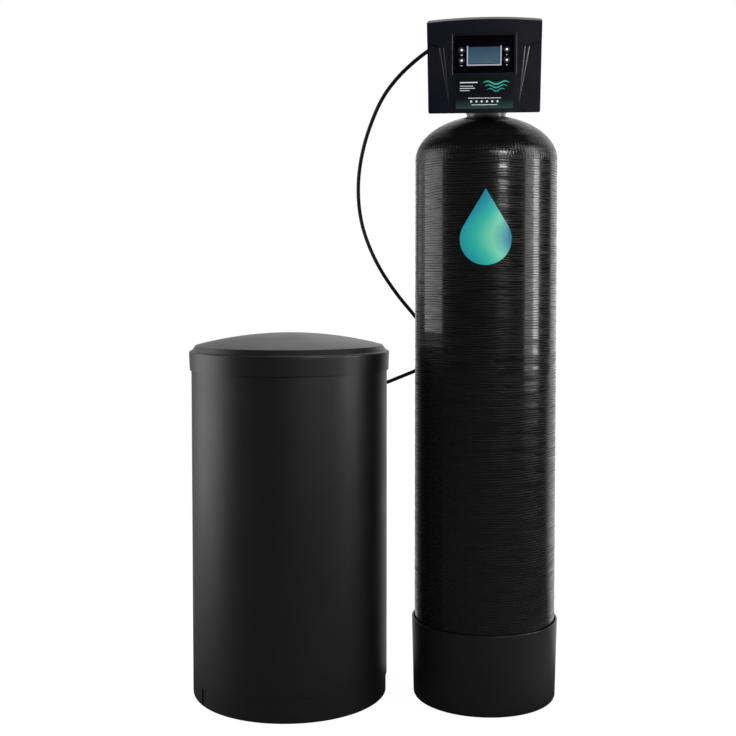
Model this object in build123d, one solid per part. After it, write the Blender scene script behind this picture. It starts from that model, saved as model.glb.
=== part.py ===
"""Twin-tank water softener: a tall mineral tank with a control valve on its neck, and a round
brine tank joined to the valve by a thin brine line. Millimetres, +Z up, the display faces -Y,
and the origin is on the floor at the mineral tank's axis."""
from build123d import *
import math
import os

# Clearances shared by many pieces
slip_gap = 0.3
running_gap = 0.05
seat_gap = 0.1
overrun = 1.0

# Mineral tank: a wound shell over a liner, domed at both ends
tank_radius = 167.0
tank_low_point = 12.0
tank_low_rise = 95.0
tank_shoulder_z = 1278.0
tank_top_rise = 105.0
winding_wall = 3.5
liner_wall = 3.0
neck_radius = 46.0
neck_top_z = 1389.0
neck_bore_radius = 32.0
neck_flange_radius = 60.0
neck_flange_thickness = 6.0
neck_skirt_length = 12.0

# Boot under the mineral tank
boot_height = 190.0
boot_top_radius = 173.5
boot_foot_radius = 169.0
boot_wall = 3.6
boot_floor = 5.0
boot_edge_round = 9.0
boot_rim_round = 1.2
boot_ring_radius = 90.0
boot_ring_wall = 4.0

# Filling and pipework inside the mineral tank
resin_top_z = 900.0
gravel_top_z = 150.0
riser_radius = 13.35
riser_bore_radius = 10.4
basket_radius = 35.0
basket_low_z = 34.0
basket_top_z = 92.0
basket_slot_width = 2.0
basket_slot_depth = 4.0
basket_slot_pitch = 8.0
basket_cup_depth = 20.0
strainer_radius = 29.0
strainer_height = 18.0

# Drop-shaped badge on the front of the mineral tank
badge_thickness = 0.4
badge_low_z = 1030.0
badge_top_z = 1201.0
badge_radius = 58.0

# Valve body: flange, column and a barrel along Y
base_radius = 47.5
base_thickness = 12.0
column_radius = 44.0
spigot_radius = 31.6
spigot_bore_radius = 26.0
spigot_length = 34.0
barrel_z = 1455.0
barrel_radius = 42.0
barrel_front_y = -48.0
barrel_rear_y = 70.0
barrel_end_wall = 8.0
barrel_bore_radius = 31.0
barrel_flange_radius = 50.0
barrel_flange_thickness = 6.0
barrel_edge_round = 3.0
riser_socket_depth = 14.0
inner_way_radius = 5.0
inner_way_reach = 20.0
small_way_radius = 2.5
tank_seal_radius = 38.0
tank_seal_section = 2.3

# Inlet and outlet ports at the back of the valve body
port_x = 40.0
port_z = 1446.0
port_radius = 19.0
port_bore_radius = 13.0
port_start_y = 4.0
port_bore_start_y = 24.0
port_end_y = 92.0
collar_radius = 23.0
collar_length = 8.0

# Piston, its seals and its rod
piston_radius = 20.0
piston_length = 50.0
piston_front_y = 6.0
piston_waist_radius = 13.0
piston_waist_length = 24.0
piston_bore_radius = 8.0
piston_travel = 30.0
seal_count = 5
seal_thickness = 5.0
spacer_length = 18.0
spacer_inner_radius = 23.0
spacer_window_width = 9.0
spacer_window_length = 10.0
spacer_window_count = 8
stack_front_y = -38.0
stack_skin = 0.2
rod_radius = 6.0
rod_tip_y = -95.0

# Drive: cap, gear, idler, motor and the plate that carries them
plate_front_y = -52.0
plate_edge_gap = 0.5
cap_flange_radius = 44.0
cap_flange_thickness = 6.0
cap_spigot_length = 13.0
cap_boss_radius = 14.0
rod_seal_radius = 11.0
rod_seal_thickness = 4.0
gear_module = 1.0
gear_thickness = 8.0
gear_rear_y = -84.0
gear_backlash = 0.16
pressure_angle = 20.0
drive_teeth = 72
idler_teeth = 40
pinion_teeth = 16
gear_hub_radius = 18.0
gear_hub_length = 14.0
idler_direction = 10.0
idler_hub_radius = 8.0
idler_post_radius = 4.0
idler_head_radius = 6.5
idler_head_thickness = 2.0
motor_radius = 20.0
motor_length = 28.0
motor_ear_reach = 28.0
motor_ear_radius = 4.5
motor_ear_thickness = 3.0
motor_shaft_radius = 2.5
motor_bore_depth = 12.0
screw_count = 4

# Cover of the control head
cover_shift_x = -5.0
cover_front_y = -135.0
cover_rear_y = -46.0
cover_low_z = 1372.0
cover_side_z = 1581.0
cover_crown_z = 1587.5
cover_top_width = 258.5
cover_foot_width = 250.5
cover_wall = 3.5
cover_top_bevel = 6.0
cover_corner_round = 7.0
cover_foot_round = 4.5
cover_foot_slope = 0.15
cover_notch_radius = 66.0
wing_depth = 5.0
wing_crease_outer_z = 1536.0
wing_crease_inner_z = 1519.5
wing_inner_x = 90.5
wing_low_x = 78.0
wing_low_z = 1392.0
wing_side_slope = 1.1
wing_crease_slope = 0.5
wing_step_width = 7.0
wing_step_share = 0.42
boss_radius = 5.0
boss_inset_x = 12.0
boss_low_z = 1399.0
boss_high_z = 1556.0

# Display: pocket, panel, lens, trim, board and four keys
pocket_width = 135.0
pocket_height = 84.0
pocket_depth = 2.0
pocket_z = 1503.5
bead_width = 2.4
bead_margin = 3.2
bead_height = 0.8
bead_bevel = 0.6
panel_recess = 0.2
panel_clearance = 0.2
glass_width = 70.0
glass_height = 37.2
glass_z = 1501.2
glass_lip = 3.0
glass_lip_thickness = 1.0
module_margin = 2.5
module_clearance = 0.3
trim_width = 77.8
trim_height = 44.0
trim_bar = 2.9
trim_height_z = 1499.8
trim_proud = 1.2
key_x = 50.4
key_high_z = 1513.0
key_low_z = 1489.7
key_radius = 7.0
key_proud = 0.8
key_flange_radius = 8.6
key_flange_thickness = 1.2
key_stem_radius = 3.0
key_dot_radius = 2.7
key_dot_depth = 0.3
key_travel = 0.8
key_stop_gap = 0.95
switch_size = 6.0
switch_height = 1.7
board_width = 132.0
board_height = 76.0
board_thickness = 1.6
board_front_y = -119.6
board_post_radius = 3.0
board_post_inset = 5.0
label_width = 128.5
label_height = 71.5
label_thickness = 0.5
label_low_z = 1382.0
label_shift_x = 1.0
label_clearance = 0.1

# Screws
small_screw_radius = 1.4
small_head_radius = 2.8
small_head_height = 1.8
small_screw_reach = 8.0
cover_screw_radius = 2.0
cover_head_radius = 4.0
cover_head_height = 2.5
cover_screw_reach = 16.0
cap_screw_radius = 2.5
cap_head_radius = 4.5
cap_head_height = 4.0
cap_screw_reach = 16.0
cap_screw_circle = 38.5
thread_gap = 0.1
hex_socket_share = 0.5

# Injector on the left of the barrel
injector_y = 8.0
injector_z = 1474.0
injector_radius = 15.0
injector_end_x = -80.0
injector_bore_radius = 10.0
injector_bore_end_x = -58.0
injector_seat_radius = 6.2
injector_seat_end_x = -40.0
injector_part_length = 8.0
injector_orifice_radius = 0.9
injector_throat_radius = 1.4
injector_cone_radius = 3.6
screen_wall = 1.5
screen_slots = 6
screen_slot_width = 1.5
injector_cap_thickness = 7.0
injector_cap_spigot = 5.0

# Brine and drain towers behind the plate
tower_y = 35.0
tower_x = 30.0
tower_low_z = 1480.0
tower_radius = 13.0
tower_bore_radius = 8.0
tower_bore_low_z = 1500.0
brine_tower_height = 60.0
drain_tower_height = 42.0
elbow_plug_length = 24.0
elbow_radius = 10.0
elbow_bore_radius = 3.2
brine_arm_rise = 24.0
brine_arm_end_x = -66.0
tube_nut_radius = 13.0
tube_nut_length = 16.0
tube_nut_end_x = -72.0
drain_arm_rise = 22.0
drain_arm_end_y = 62.0
drain_stub_radius = 7.95
drain_stub_bore_radius = 6.0
drain_stub_length = 28.0
control_disc_thickness = 4.0
control_hole_radius = 1.6
clip_width = 3.5
clip_thickness = 2.0

# Flow meter in the outlet port
turbine_radius = 12.3
turbine_hub_radius = 3.6
turbine_axle_radius = 1.4
turbine_blades = 6
turbine_blade_thickness = 1.0
turbine_blade_pitch = 32.0
turbine_front_y = 64.0
turbine_length = 12.0
cage_ring_wall = 1.6
cage_thickness = 3.0
cage_gap = 0.6
sensor_radius = 8.0
sensor_height = 16.0
sensor_wall = 2.4
sensor_boss_height = 8.0
sensor_edge_round = 1.0

# Bypass valve behind the ports
bypass_y = 132.0
bypass_radius = 20.0
bypass_end_y = 165.0
bypass_tail_y = 93.5
bypass_cross_radius = 15.0
bypass_cross_bore_radius = 10.0
rotor_radius = 14.4
rotor_way_radius = 9.0
rotor_low_z = 1428.0
rotor_top_z = 1470.0
rotor_house_radius = 20.0
rotor_house_floor = 4.0
rotor_neck_radius = 9.0
rotor_cap_thickness = 5.0
rotor_neck_rise = 1.0
knob_length = 58.0
knob_width = 24.0
knob_height = 14.0
knob_corner_round = 3.0
knob_edge_bevel = 1.5
knob_point_share = 0.42
gasket_thickness = 1.5
union_collar_radius = 22.0
union_collar_length = 3.5
union_nut_radius = 26.2
union_nut_sides = 8
union_lip = 3.6
pipe_radius = 14.3
pipe_bore_radius = 12.7
pipe_end_y = 205.0
pipe_tail_length = 30.0
pipe_shank_radius = 16.0

# Power jack on the back plate
jack_inset_x = 37.5
jack_rise = 29.0
jack_radius = 6.0
jack_bore_radius = 3.0
jack_pin_radius = 1.0
jack_depth = 12.0
jack_lip = 2.0

# Brine tank
brine_x = -468.0
brine_y = -22.0
brine_radius = 234.0
brine_wall = 4.5
brine_floor = 5.0
brine_rim_z = 824.3
brine_rim_round = 1.5
brine_edge_round = 12.0
foot_band_depth = 2.5
foot_band_start = 218.0
foot_band_left_z = 46.0
foot_band_middle_z = 61.0
foot_band_right_z = 48.0
foot_band_rear_y = 60.0

# Lid of the brine tank
lid_seam_z = 783.0
lid_foot_radius = 237.8
lid_top_radius = 239.5
lid_ledge_z = 828.0
lid_shoulder_foot_radius = 233.0
lid_plateau_radius = 224.0
lid_plateau_z = 841.0
lid_crown_z = 870.0
lid_wall = 3.4
lid_edge_round = 4.0
lid_shoulder_round = 3.0

# Salt platform in the brine tank
grid_radius = 226.0
grid_thickness = 4.0
grid_low_z = 150.0
grid_hole_radius = 5.0
grid_ring_pitch = 42.0
grid_ring_count = 5
grid_holes_per_ring = 7
grid_well_gap = 3.0
leg_radius = 30.0
leg_wall = 3.0
leg_circle = 125.0
leg_count = 4
leg_first_angle = 117.0
leg_step_angle = 72.0

# Brine well with its float valve
well_angle = 45.0
well_radius = 52.0
well_wall = 2.5
well_wall_gap = 4.0
well_low_z = 8.0
well_top_z = 762.0
well_foot_notch = 14.0
well_foot_notches = 4
well_cap_skirt = 14.0
well_cap_wall = 2.5
well_bolt_radius = 3.0
well_bolt_head_radius = 6.0
well_bolt_head_height = 3.0
well_bolt_high_z = 690.0
well_bolt_low_z = 110.0
line_entry_z = 728.0
line_fitting_radius = 7.0
line_fitting_flange_radius = 12.0
line_fitting_flange_thickness = 4.0
line_nut_thickness = 5.0
valve_block_width = 30.0
valve_block_depth = 26.0
valve_block_low_z = 706.0
valve_block_high_z = 746.0
valve_block_shift = 14.0
valve_arm_thickness = 8.0
valve_arm_reach = 34.0
pickup_radius = 6.35
pickup_bore_radius = 4.6
check_radius = 14.0
check_low_z = 16.0
check_height = 46.0
check_slot_width = 4.0
check_slots = 6
check_ball_radius = 7.0
valve_block_round = 3.0
float_rod_radius = 2.5
float_rod_offset = 26.0
float_rod_low_z = 300.0
float_rod_rise = 14.0
float_head_radius = 5.0
float_head_thickness = 4.0
float_radius = 17.0
float_height = 62.0
float_low_z = 330.0
float_edge_round = 5.0
grommet_radius = 6.0
grommet_height = 6.0

# Overflow fitting at the back of the brine tank
overflow_z = 640.0
overflow_radius = 10.0
overflow_flange_radius = 17.0
overflow_flange_thickness = 4.0
overflow_gasket_thickness = 2.0
overflow_nut_thickness = 8.0
overflow_stub_radius = 7.0
overflow_stub_bore_radius = 5.2
overflow_stub_length = 32.0

# Brine line: 3/8 inch tube from the valve to the brine tank
line_radius = 4.76
line_bore_radius = 3.2
line_arc_share = 0.45

# Values worked out from the ones above
tank_low_shoulder_z = tank_low_point + tank_low_rise
liner_gap_radius = tank_radius - winding_wall - slip_gap
liner_inner_radius = liner_gap_radius - liner_wall
filling_radius = liner_inner_radius - slip_gap
cover_middle_z = (cover_low_z + cover_side_z) / 2
gear_front_y = gear_rear_y - gear_thickness
drive_radius = gear_module * drive_teeth / 2
idler_radius = gear_module * idler_teeth / 2
pinion_radius = gear_module * pinion_teeth / 2
idler_x = (drive_radius + idler_radius) * math.cos(math.radians(idler_direction))
idler_z = barrel_z + (drive_radius + idler_radius) * math.sin(math.radians(idler_direction))
motor_x = idler_x + idler_radius + pinion_radius
motor_z = idler_z
plate_rear_y = barrel_front_y
brine_tower_top_z = tower_low_z + brine_tower_height
drain_tower_top_z = tower_low_z + drain_tower_height
brine_arm_z = brine_tower_top_z + brine_arm_rise
drain_arm_z = drain_tower_top_z + drain_arm_rise
jack_x = cover_foot_width / 2 - jack_inset_x
jack_z = cover_low_z + jack_rise
cap_front_y = plate_front_y - cap_flange_thickness
well_reach = brine_radius - brine_wall - well_wall_gap - well_radius
well_x = brine_x + well_reach * math.cos(math.radians(well_angle))
well_y = brine_y + well_reach * math.sin(math.radians(well_angle))


def upright(radius, low_z, high_z, x=0, y=0):
    """A vertical cylinder between two heights."""
    rod = Cylinder(radius, high_z - low_z, align=(Align.CENTER, Align.CENTER, Align.MIN))
    return Pos(x, y, low_z) * rod


def along_y(radius, near_y, far_y, x=0, z=0):
    """A cylinder along +Y between two depths."""
    rod = Cylinder(radius, far_y - near_y, align=(Align.CENTER, Align.CENTER, Align.MIN))
    return Pos(x, near_y, z) * Rot(-90, 0, 0) * rod


def along_x(radius, low_x, high_x, y=0, z=0):
    """A cylinder along +X between two places."""
    rod = Cylinder(radius, high_x - low_x, align=(Align.CENTER, Align.CENTER, Align.MIN))
    return Pos(low_x, y, z) * Rot(0, 90, 0) * rod


def block(low, high):
    """A box between two corners."""
    size = [b - a for a, b in zip(low, high)]
    middle = [(a + b) / 2 for a, b in zip(low, high)]
    return Pos(*middle) * Box(*size)


def ring(outer, inner, low_z, high_z, x=0, y=0):
    """A vertical tube."""
    return upright(outer, low_z, high_z, x, y) - upright(
        inner, low_z - overrun, high_z + overrun, x, y)


def ring_y(outer, inner, near_y, far_y, x=0, z=0):
    """A tube along Y."""
    return along_y(outer, near_y, far_y, x, z) - along_y(
        inner, near_y - overrun, far_y + overrun, x, z)


def capsule(radius, low_z, low_rise, top_shoulder_z, top_rise):
    """A closed round body whose two ends are half ellipses."""
    low_shoulder_z = low_z + low_rise
    top_z = top_shoulder_z + top_rise
    outline = [
        EllipticalCenterArc((0, low_shoulder_z), radius, low_rise, start_angle=270, arc_size=90),
        Line((radius, low_shoulder_z), (radius, top_shoulder_z)),
        EllipticalCenterArc((0, top_shoulder_z), radius, top_rise, start_angle=0, arc_size=90),
        Line((0, top_z), (0, low_z)),
    ]
    return revolve(Plane.XZ * make_face(outline), Axis.Z)


def tank_form(inset):
    """The mineral tank's outer form, drawn in by an inset on every side."""
    return capsule(tank_radius - inset, tank_low_point + inset, tank_low_rise - inset,
                   tank_shoulder_z, tank_top_rise - inset)


def dome_z(inset, reach):
    """Height of the inset top dome at a distance from the axis."""
    span = tank_radius - inset
    return tank_shoulder_z + (tank_top_rise - inset) * math.sqrt(1 - (reach / span) ** 2)


def bowl_z(inset, reach):
    """Height of the inset bottom dome at a distance from the axis."""
    span = tank_radius - inset
    return tank_low_shoulder_z - (tank_low_rise - inset) * math.sqrt(1 - (reach / span) ** 2)


def tank_winding():
    """Wound outer shell with the hole for the neck."""
    hole = upright(neck_radius + slip_gap, tank_shoulder_z, neck_top_z)
    return tank_form(0) - tank_form(winding_wall) - hole


def tank_liner():
    """Moulded liner just inside the winding."""
    outer_inset = winding_wall + slip_gap
    hole = upright(neck_radius + slip_gap, tank_shoulder_z, neck_top_z)
    return tank_form(outer_inset) - tank_form(outer_inset + liner_wall) - hole


def tank_neck():
    """Threaded insert that the valve is screwed into."""
    inset = winding_wall + slip_gap + liner_wall
    flange_top_z = dome_z(inset, neck_flange_radius) - slip_gap
    flange_low_z = flange_top_z - neck_flange_thickness
    collar = upright(neck_radius, flange_low_z - neck_skirt_length, neck_top_z)
    flange = upright(neck_flange_radius, flange_low_z, flange_top_z)
    bore = upright(neck_bore_radius, flange_low_z - neck_skirt_length - overrun, neck_top_z + overrun)
    return collar + flange - bore


def tank_boot():
    """Cup that holds the mineral tank upright."""
    outer = FilletPolyline(
        (0, 0), (boot_foot_radius, 0), (boot_top_radius, boot_height),
        (boot_top_radius - boot_wall, boot_height),
        radius=[boot_edge_round, boot_rim_round])
    inner = Polyline(
        (boot_top_radius - boot_wall, boot_height), (boot_foot_radius - boot_wall, boot_floor),
        (0, boot_floor), (0, 0))
    cup = revolve(Plane.XZ * make_face([*outer.edges(), *inner.edges()]), Axis.Z)
    ring_top_z = bowl_z(0, boot_ring_radius - boot_ring_wall) - slip_gap
    seat = ring(boot_ring_radius, boot_ring_radius - boot_ring_wall, boot_floor, ring_top_z)
    return cup + seat


def riser_hole():
    """Room for the riser tube in the filling."""
    return upright(riser_radius + slip_gap, basket_low_z, neck_top_z)


def resin_bed():
    """Ion exchange resin, a closed body with the riser's hole."""
    inset = tank_radius - filling_radius
    slab = upright(tank_radius, gravel_top_z, resin_top_z)
    return tank_form(inset) & slab - riser_hole()


def gravel_bed():
    """Gravel round the lower distributor."""
    inset = tank_radius - filling_radius
    slab = upright(tank_radius, 0, gravel_top_z)
    basket = upright(basket_radius + slip_gap, basket_low_z - slip_gap, basket_top_z + slip_gap)
    return tank_form(inset) & slab - riser_hole() - basket


def riser_tube():
    """Pipe from the lower distributor to the valve."""
    low_z = basket_top_z - basket_cup_depth + seat_gap
    top_z = neck_top_z + base_thickness + riser_socket_depth
    return ring(riser_radius, riser_bore_radius, low_z, top_z)


def slotted(body, radius, low_z, high_z):
    """Cuts round slots into a basket from its side."""
    level = low_z + basket_slot_pitch
    while level < high_z - basket_slot_pitch / 2:
        body -= ring(radius + overrun, radius - basket_slot_depth, level, level + basket_slot_width)
        level += basket_slot_pitch
    return body


def lower_distributor():
    """Slotted basket at the foot of the riser."""
    body = upright(basket_radius, basket_low_z, basket_top_z)
    body -= upright(riser_radius + seat_gap, basket_top_z - basket_cup_depth, basket_top_z + overrun)
    body -= upright(riser_bore_radius, basket_low_z + basket_slot_pitch, basket_top_z)
    return slotted(body, basket_radius, basket_low_z, basket_top_z)


def upper_distributor():
    """Slotted ring that hangs from the valve's spigot round the riser."""
    top_z = neck_top_z - spigot_length
    low_z = top_z - strainer_height
    body = ring(strainer_radius, riser_radius + slip_gap, low_z, top_z)
    return slotted(body, strainer_radius, low_z, top_z)


def tank_badge():
    """Thin drop-shaped badge that follows the front of the tank."""
    middle_z = badge_low_z + badge_radius
    rise = badge_top_z - middle_z
    lean = math.asin(badge_radius / rise)
    side = Vector(badge_radius * math.cos(lean), middle_z + badge_radius * math.sin(lean))
    mirrored = Vector(-side.X, side.Y)
    outline = [
        ThreePointArc(side, (0, badge_low_z), mirrored),
        Line(mirrored, (0, badge_top_z)),
        Line((0, badge_top_z), side),
    ]
    drop = extrude(Plane.XZ * make_face(outline), tank_radius + badge_radius)
    skin = ring(tank_radius + slip_gap + badge_thickness, tank_radius + slip_gap,
                badge_low_z - overrun, badge_top_z + overrun)
    return skin & drop


def valve_body():
    """Moulded body: base flange, spigot, column, barrel, ports, injector housing and two towers."""
    base_top_z = neck_top_z + base_thickness
    body = upright(base_radius, neck_top_z, base_top_z)
    body += upright(spigot_radius, neck_top_z - spigot_length, neck_top_z)
    body += upright(column_radius, base_top_z, barrel_z)
    body += along_y(barrel_radius, barrel_front_y, barrel_rear_y, 0, barrel_z)
    body += along_y(barrel_flange_radius, barrel_front_y,
                    barrel_front_y + barrel_flange_thickness, 0, barrel_z)
    for side in (-1, 1):
        body += along_y(port_radius, port_start_y, port_end_y, side * port_x, port_z)
        body += along_y(collar_radius, port_end_y - collar_length, port_end_y, side * port_x, port_z)
    body += along_x(injector_radius, injector_end_x, 0, injector_y, injector_z)
    body += upright(tower_radius, tower_low_z, brine_tower_top_z, -tower_x, tower_y)
    body += upright(tower_radius, tower_low_z, drain_tower_top_z, tower_x, tower_y)
    body += upright(sensor_radius + sensor_wall, port_z, port_z + port_radius + sensor_boss_height,
                    port_x, turbine_front_y + turbine_length / 2)
    body -= along_y(barrel_bore_radius, barrel_front_y - overrun, barrel_rear_y - barrel_end_wall,
                    0, barrel_z)
    body -= upright(spigot_bore_radius, neck_top_z - spigot_length - overrun, base_top_z)
    body -= upright(riser_radius + seat_gap, base_top_z - overrun, barrel_z)
    body -= upright(inner_way_radius, base_top_z - overrun, barrel_z, 0, -inner_way_reach)
    body -= ring(tank_seal_radius + tank_seal_section + seat_gap,
                 tank_seal_radius - tank_seal_section - seat_gap,
                 neck_top_z - overrun, neck_top_z + 2 * tank_seal_section + seat_gap)
    for side in (-1, 1):
        body -= upright(small_way_radius, barrel_z, tower_bore_low_z + overrun, side * tower_x, tower_y)
    body -= along_x(small_way_radius, -barrel_bore_radius, 0, injector_y, injector_z)
    body -= along_x(small_way_radius, injector_seat_end_x - overrun, -barrel_bore_radius / 2,
                    injector_y, injector_z)
    for side in (-1, 1):
        body -= along_y(port_bore_radius, port_bore_start_y, port_end_y + overrun, side * port_x, port_z)
    body -= along_x(injector_bore_radius, injector_end_x - overrun, injector_bore_end_x,
                    injector_y, injector_z)
    body -= along_x(injector_seat_radius, injector_end_x, injector_seat_end_x, injector_y, injector_z)
    body -= upright(tower_bore_radius, tower_bore_low_z, brine_tower_top_z + overrun, -tower_x, tower_y)
    body -= upright(tower_bore_radius, tower_bore_low_z, drain_tower_top_z + overrun, tower_x, tower_y)
    body -= upright(sensor_radius + seat_gap, port_z + port_radius - cage_thickness,
                    port_z + port_radius + sensor_height, port_x, turbine_front_y + turbine_length / 2)
    for x, z in cap_screw_places():
        body -= along_y(cap_screw_radius + thread_gap, barrel_front_y - overrun,
                        barrel_front_y + cap_screw_reach, x, z)
    return body


def cap_screw_places():
    """Places of the screws that hold the drive cap and the plate to the barrel."""
    places = []
    for turn in range(screw_count):
        angle = math.radians(360 / screw_count * (turn + 0.5))
        places.append((cap_screw_circle * math.cos(angle), barrel_z + cap_screw_circle * math.sin(angle)))
    return places


def tank_seal():
    """O-ring between the valve's base and the neck."""
    hoop = Torus(tank_seal_radius, tank_seal_section)
    return Pos(0, 0, neck_top_z + tank_seal_section + running_gap) * hoop


def piston_seals():
    """Ring seals that the piston slides through."""
    solids = []
    for k in range(seal_count):
        near = stack_front_y + k * (seal_thickness + spacer_length)
        solids.append(ring_y(barrel_bore_radius - stack_skin, piston_radius + running_gap,
                             near, near + seal_thickness, 0, barrel_z))
    return solids


def piston_spacers():
    """Windowed cages between the ring seals."""
    solids = []
    for k in range(seal_count - 1):
        near = stack_front_y + seal_thickness + k * (seal_thickness + spacer_length)
        cage = ring_y(barrel_bore_radius - stack_skin, spacer_inner_radius,
                      near, near + spacer_length, 0, barrel_z)
        middle = near + spacer_length / 2
        for turn in range(spacer_window_count // 2):
            slot = block(
                (-barrel_bore_radius - overrun, middle - spacer_window_length / 2, -spacer_window_width / 2),
                (barrel_bore_radius + overrun, middle + spacer_window_length / 2, spacer_window_width / 2))
            cage -= Pos(0, 0, barrel_z) * Rot(0, 360 / spacer_window_count * turn, 0) * slot
        solids.append(cage)
    return solids


def piston():
    """Spool that opens and closes the ways of the valve."""
    body = along_y(piston_radius, piston_front_y, piston_front_y + piston_length, 0, barrel_z)
    waist_y = piston_front_y + (piston_length - piston_waist_length) / 2
    body -= ring_y(piston_radius + overrun, piston_waist_radius, waist_y,
                   waist_y + piston_waist_length, 0, barrel_z)
    way_start_y = waist_y + piston_waist_length
    return body - along_y(piston_bore_radius, way_start_y, piston_front_y + piston_length + overrun,
                          0, barrel_z)


def piston_rod():
    """Rod that the drive gear moves in and out."""
    return along_y(rod_radius, rod_tip_y, piston_front_y, 0, barrel_z)


def rod_seal():
    """Lip seal round the rod at the inner end of the drive cap."""
    end_y = plate_front_y + cap_spigot_length
    return ring_y(rod_seal_radius, rod_radius + running_gap, end_y - rod_seal_thickness, end_y,
                  0, barrel_z)


def drive_cap():
    """Cap that closes the barrel and carries the drive gear on its boss."""
    spigot_end_y = plate_front_y + cap_spigot_length
    body = along_y(cap_flange_radius, cap_front_y, plate_front_y, 0, barrel_z)
    body += along_y(barrel_bore_radius - stack_skin, plate_front_y, spigot_end_y, 0, barrel_z)
    body += along_y(cap_boss_radius, gear_rear_y + slip_gap, cap_front_y, 0, barrel_z)
    body -= along_y(rod_radius + seat_gap, gear_rear_y - overrun, spigot_end_y + overrun, 0, barrel_z)
    body -= along_y(rod_seal_radius + seat_gap, spigot_end_y - rod_seal_thickness - seat_gap,
                    spigot_end_y + overrun, 0, barrel_z)
    for x, z in cap_screw_places():
        body -= along_y(cap_screw_radius + thread_gap, cap_front_y - overrun,
                        plate_front_y + overrun, x, z)
    return body


def screw(shank_radius, head_radius, head_height, reach):
    """A socket-head screw with its head on -Z and its shank along +Z."""
    head = Cylinder(head_radius, head_height, align=(Align.CENTER, Align.CENTER, Align.MAX))
    shank = Cylinder(shank_radius, reach, align=(Align.CENTER, Align.CENTER, Align.MIN))
    socket_radius = head_radius * hex_socket_share
    socket = extrude(RegularPolygon(socket_radius, 6), head_height * hex_socket_share)
    return head + shank - Pos(0, 0, -head_height) * socket


def cap_screws():
    """Screws through the drive cap and the plate into the barrel."""
    one = screw(cap_screw_radius, cap_head_radius, cap_head_height, cap_screw_reach)
    return [Pos(x, cap_front_y, z) * Rot(-90, 0, 0) * one for x, z in cap_screw_places()]


def involute(angle):
    """Involute function of an angle in radians."""
    return math.tan(angle) - angle


def spur_gear(teeth, phase):
    """Gear outline in a plane: involute flanks with backlash, one tooth centred on the phase angle."""
    pitch = gear_module * teeth / 2
    root, tip = pitch - 1.25 * gear_module, pitch + gear_module
    base = pitch * math.cos(math.radians(pressure_angle))
    half_at_pitch = (math.pi / 2 * gear_module - gear_backlash / 2) / 2 / pitch
    levels = [max(root, base), (max(root, base) + pitch) / 2, pitch, (pitch + tip) / 2, tip]
    flank = [(root, None)] + [(level, None) for level in levels]
    points = []

    def half_width(level):
        """Half of a tooth's angle at a radius."""
        lean = math.acos(min(1.0, base / max(level, base)))
        return half_at_pitch + involute(math.radians(pressure_angle)) - involute(lean)

    for tooth in range(teeth):
        centre = math.radians(phase + 360 * tooth / teeth)
        radii = sorted({level for level, _ in flank})
        for level in radii:
            points.append((level, centre - half_width(level)))
        for level in reversed(radii):
            points.append((level, centre + half_width(level)))
    outline = Polyline(*[(r * math.cos(a), r * math.sin(a)) for r, a in points], close=True)
    return make_face(outline)


def meshing_phase(own_teeth, other_teeth, own_phase, direction):
    """Phase of the other gear so that it meshes with this one, which lies behind it."""
    pitch = 360 / own_teeth
    lead = (direction - own_phase) % pitch
    return direction + 180 + lead * own_teeth / other_teeth + 180 / other_teeth


drive_phase = 0.0
idler_phase = meshing_phase(drive_teeth, idler_teeth, drive_phase, idler_direction)
pinion_phase = meshing_phase(idler_teeth, pinion_teeth, idler_phase, 0)


def gear_blank(teeth, phase, x, z):
    """A toothed disc between the gears' two faces."""
    flat = Plane((x, gear_rear_y, z), x_dir=(1, 0, 0), z_dir=(0, -1, 0))
    return extrude(flat * spur_gear(teeth, phase), gear_thickness)


def drive_gear():
    """Large gear that turns on the drive cap's boss and moves the rod by its inner thread."""
    body = gear_blank(drive_teeth, drive_phase, 0, barrel_z)
    body += along_y(gear_hub_radius, gear_rear_y, gear_rear_y + gear_hub_length, 0, barrel_z)
    body -= along_y(cap_boss_radius + running_gap, gear_rear_y, gear_rear_y + gear_hub_length + overrun,
                    0, barrel_z)
    return body - along_y(rod_radius + running_gap, gear_front_y - overrun, gear_rear_y + overrun,
                          0, barrel_z)


def idler_gear():
    """Gear between the motor's pinion and the drive gear."""
    body = gear_blank(idler_teeth, idler_phase, idler_x, idler_z)
    body += along_y(idler_hub_radius, gear_rear_y, plate_front_y - slip_gap, idler_x, idler_z)
    return body - along_y(idler_post_radius + running_gap, gear_front_y - overrun,
                          plate_front_y + overrun, idler_x, idler_z)


def idler_post():
    """Fixed post with a head that the idler turns on."""
    head_rear_y = gear_front_y - slip_gap
    post = along_y(idler_post_radius, head_rear_y, plate_front_y, idler_x, idler_z)
    return post + along_y(idler_head_radius, head_rear_y - idler_head_thickness, head_rear_y,
                          idler_x, idler_z)


def motor_pinion():
    """Small gear on the motor's shaft."""
    body = gear_blank(pinion_teeth, pinion_phase, motor_x, motor_z)
    return body - along_y(motor_shaft_radius, gear_front_y - overrun, gear_rear_y + overrun,
                          motor_x, motor_z)


def motor_shaft():
    """Output shaft of the gear motor."""
    rear_y = plate_front_y - motor_length + motor_bore_depth - seat_gap
    return along_y(motor_shaft_radius, gear_front_y, rear_y, motor_x, motor_z)


def motor_ears():
    """Places of the motor's two screws, above and below it."""
    return [(motor_x, motor_z + side * (motor_ear_reach - motor_ear_radius)) for side in (-1, 1)]


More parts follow.
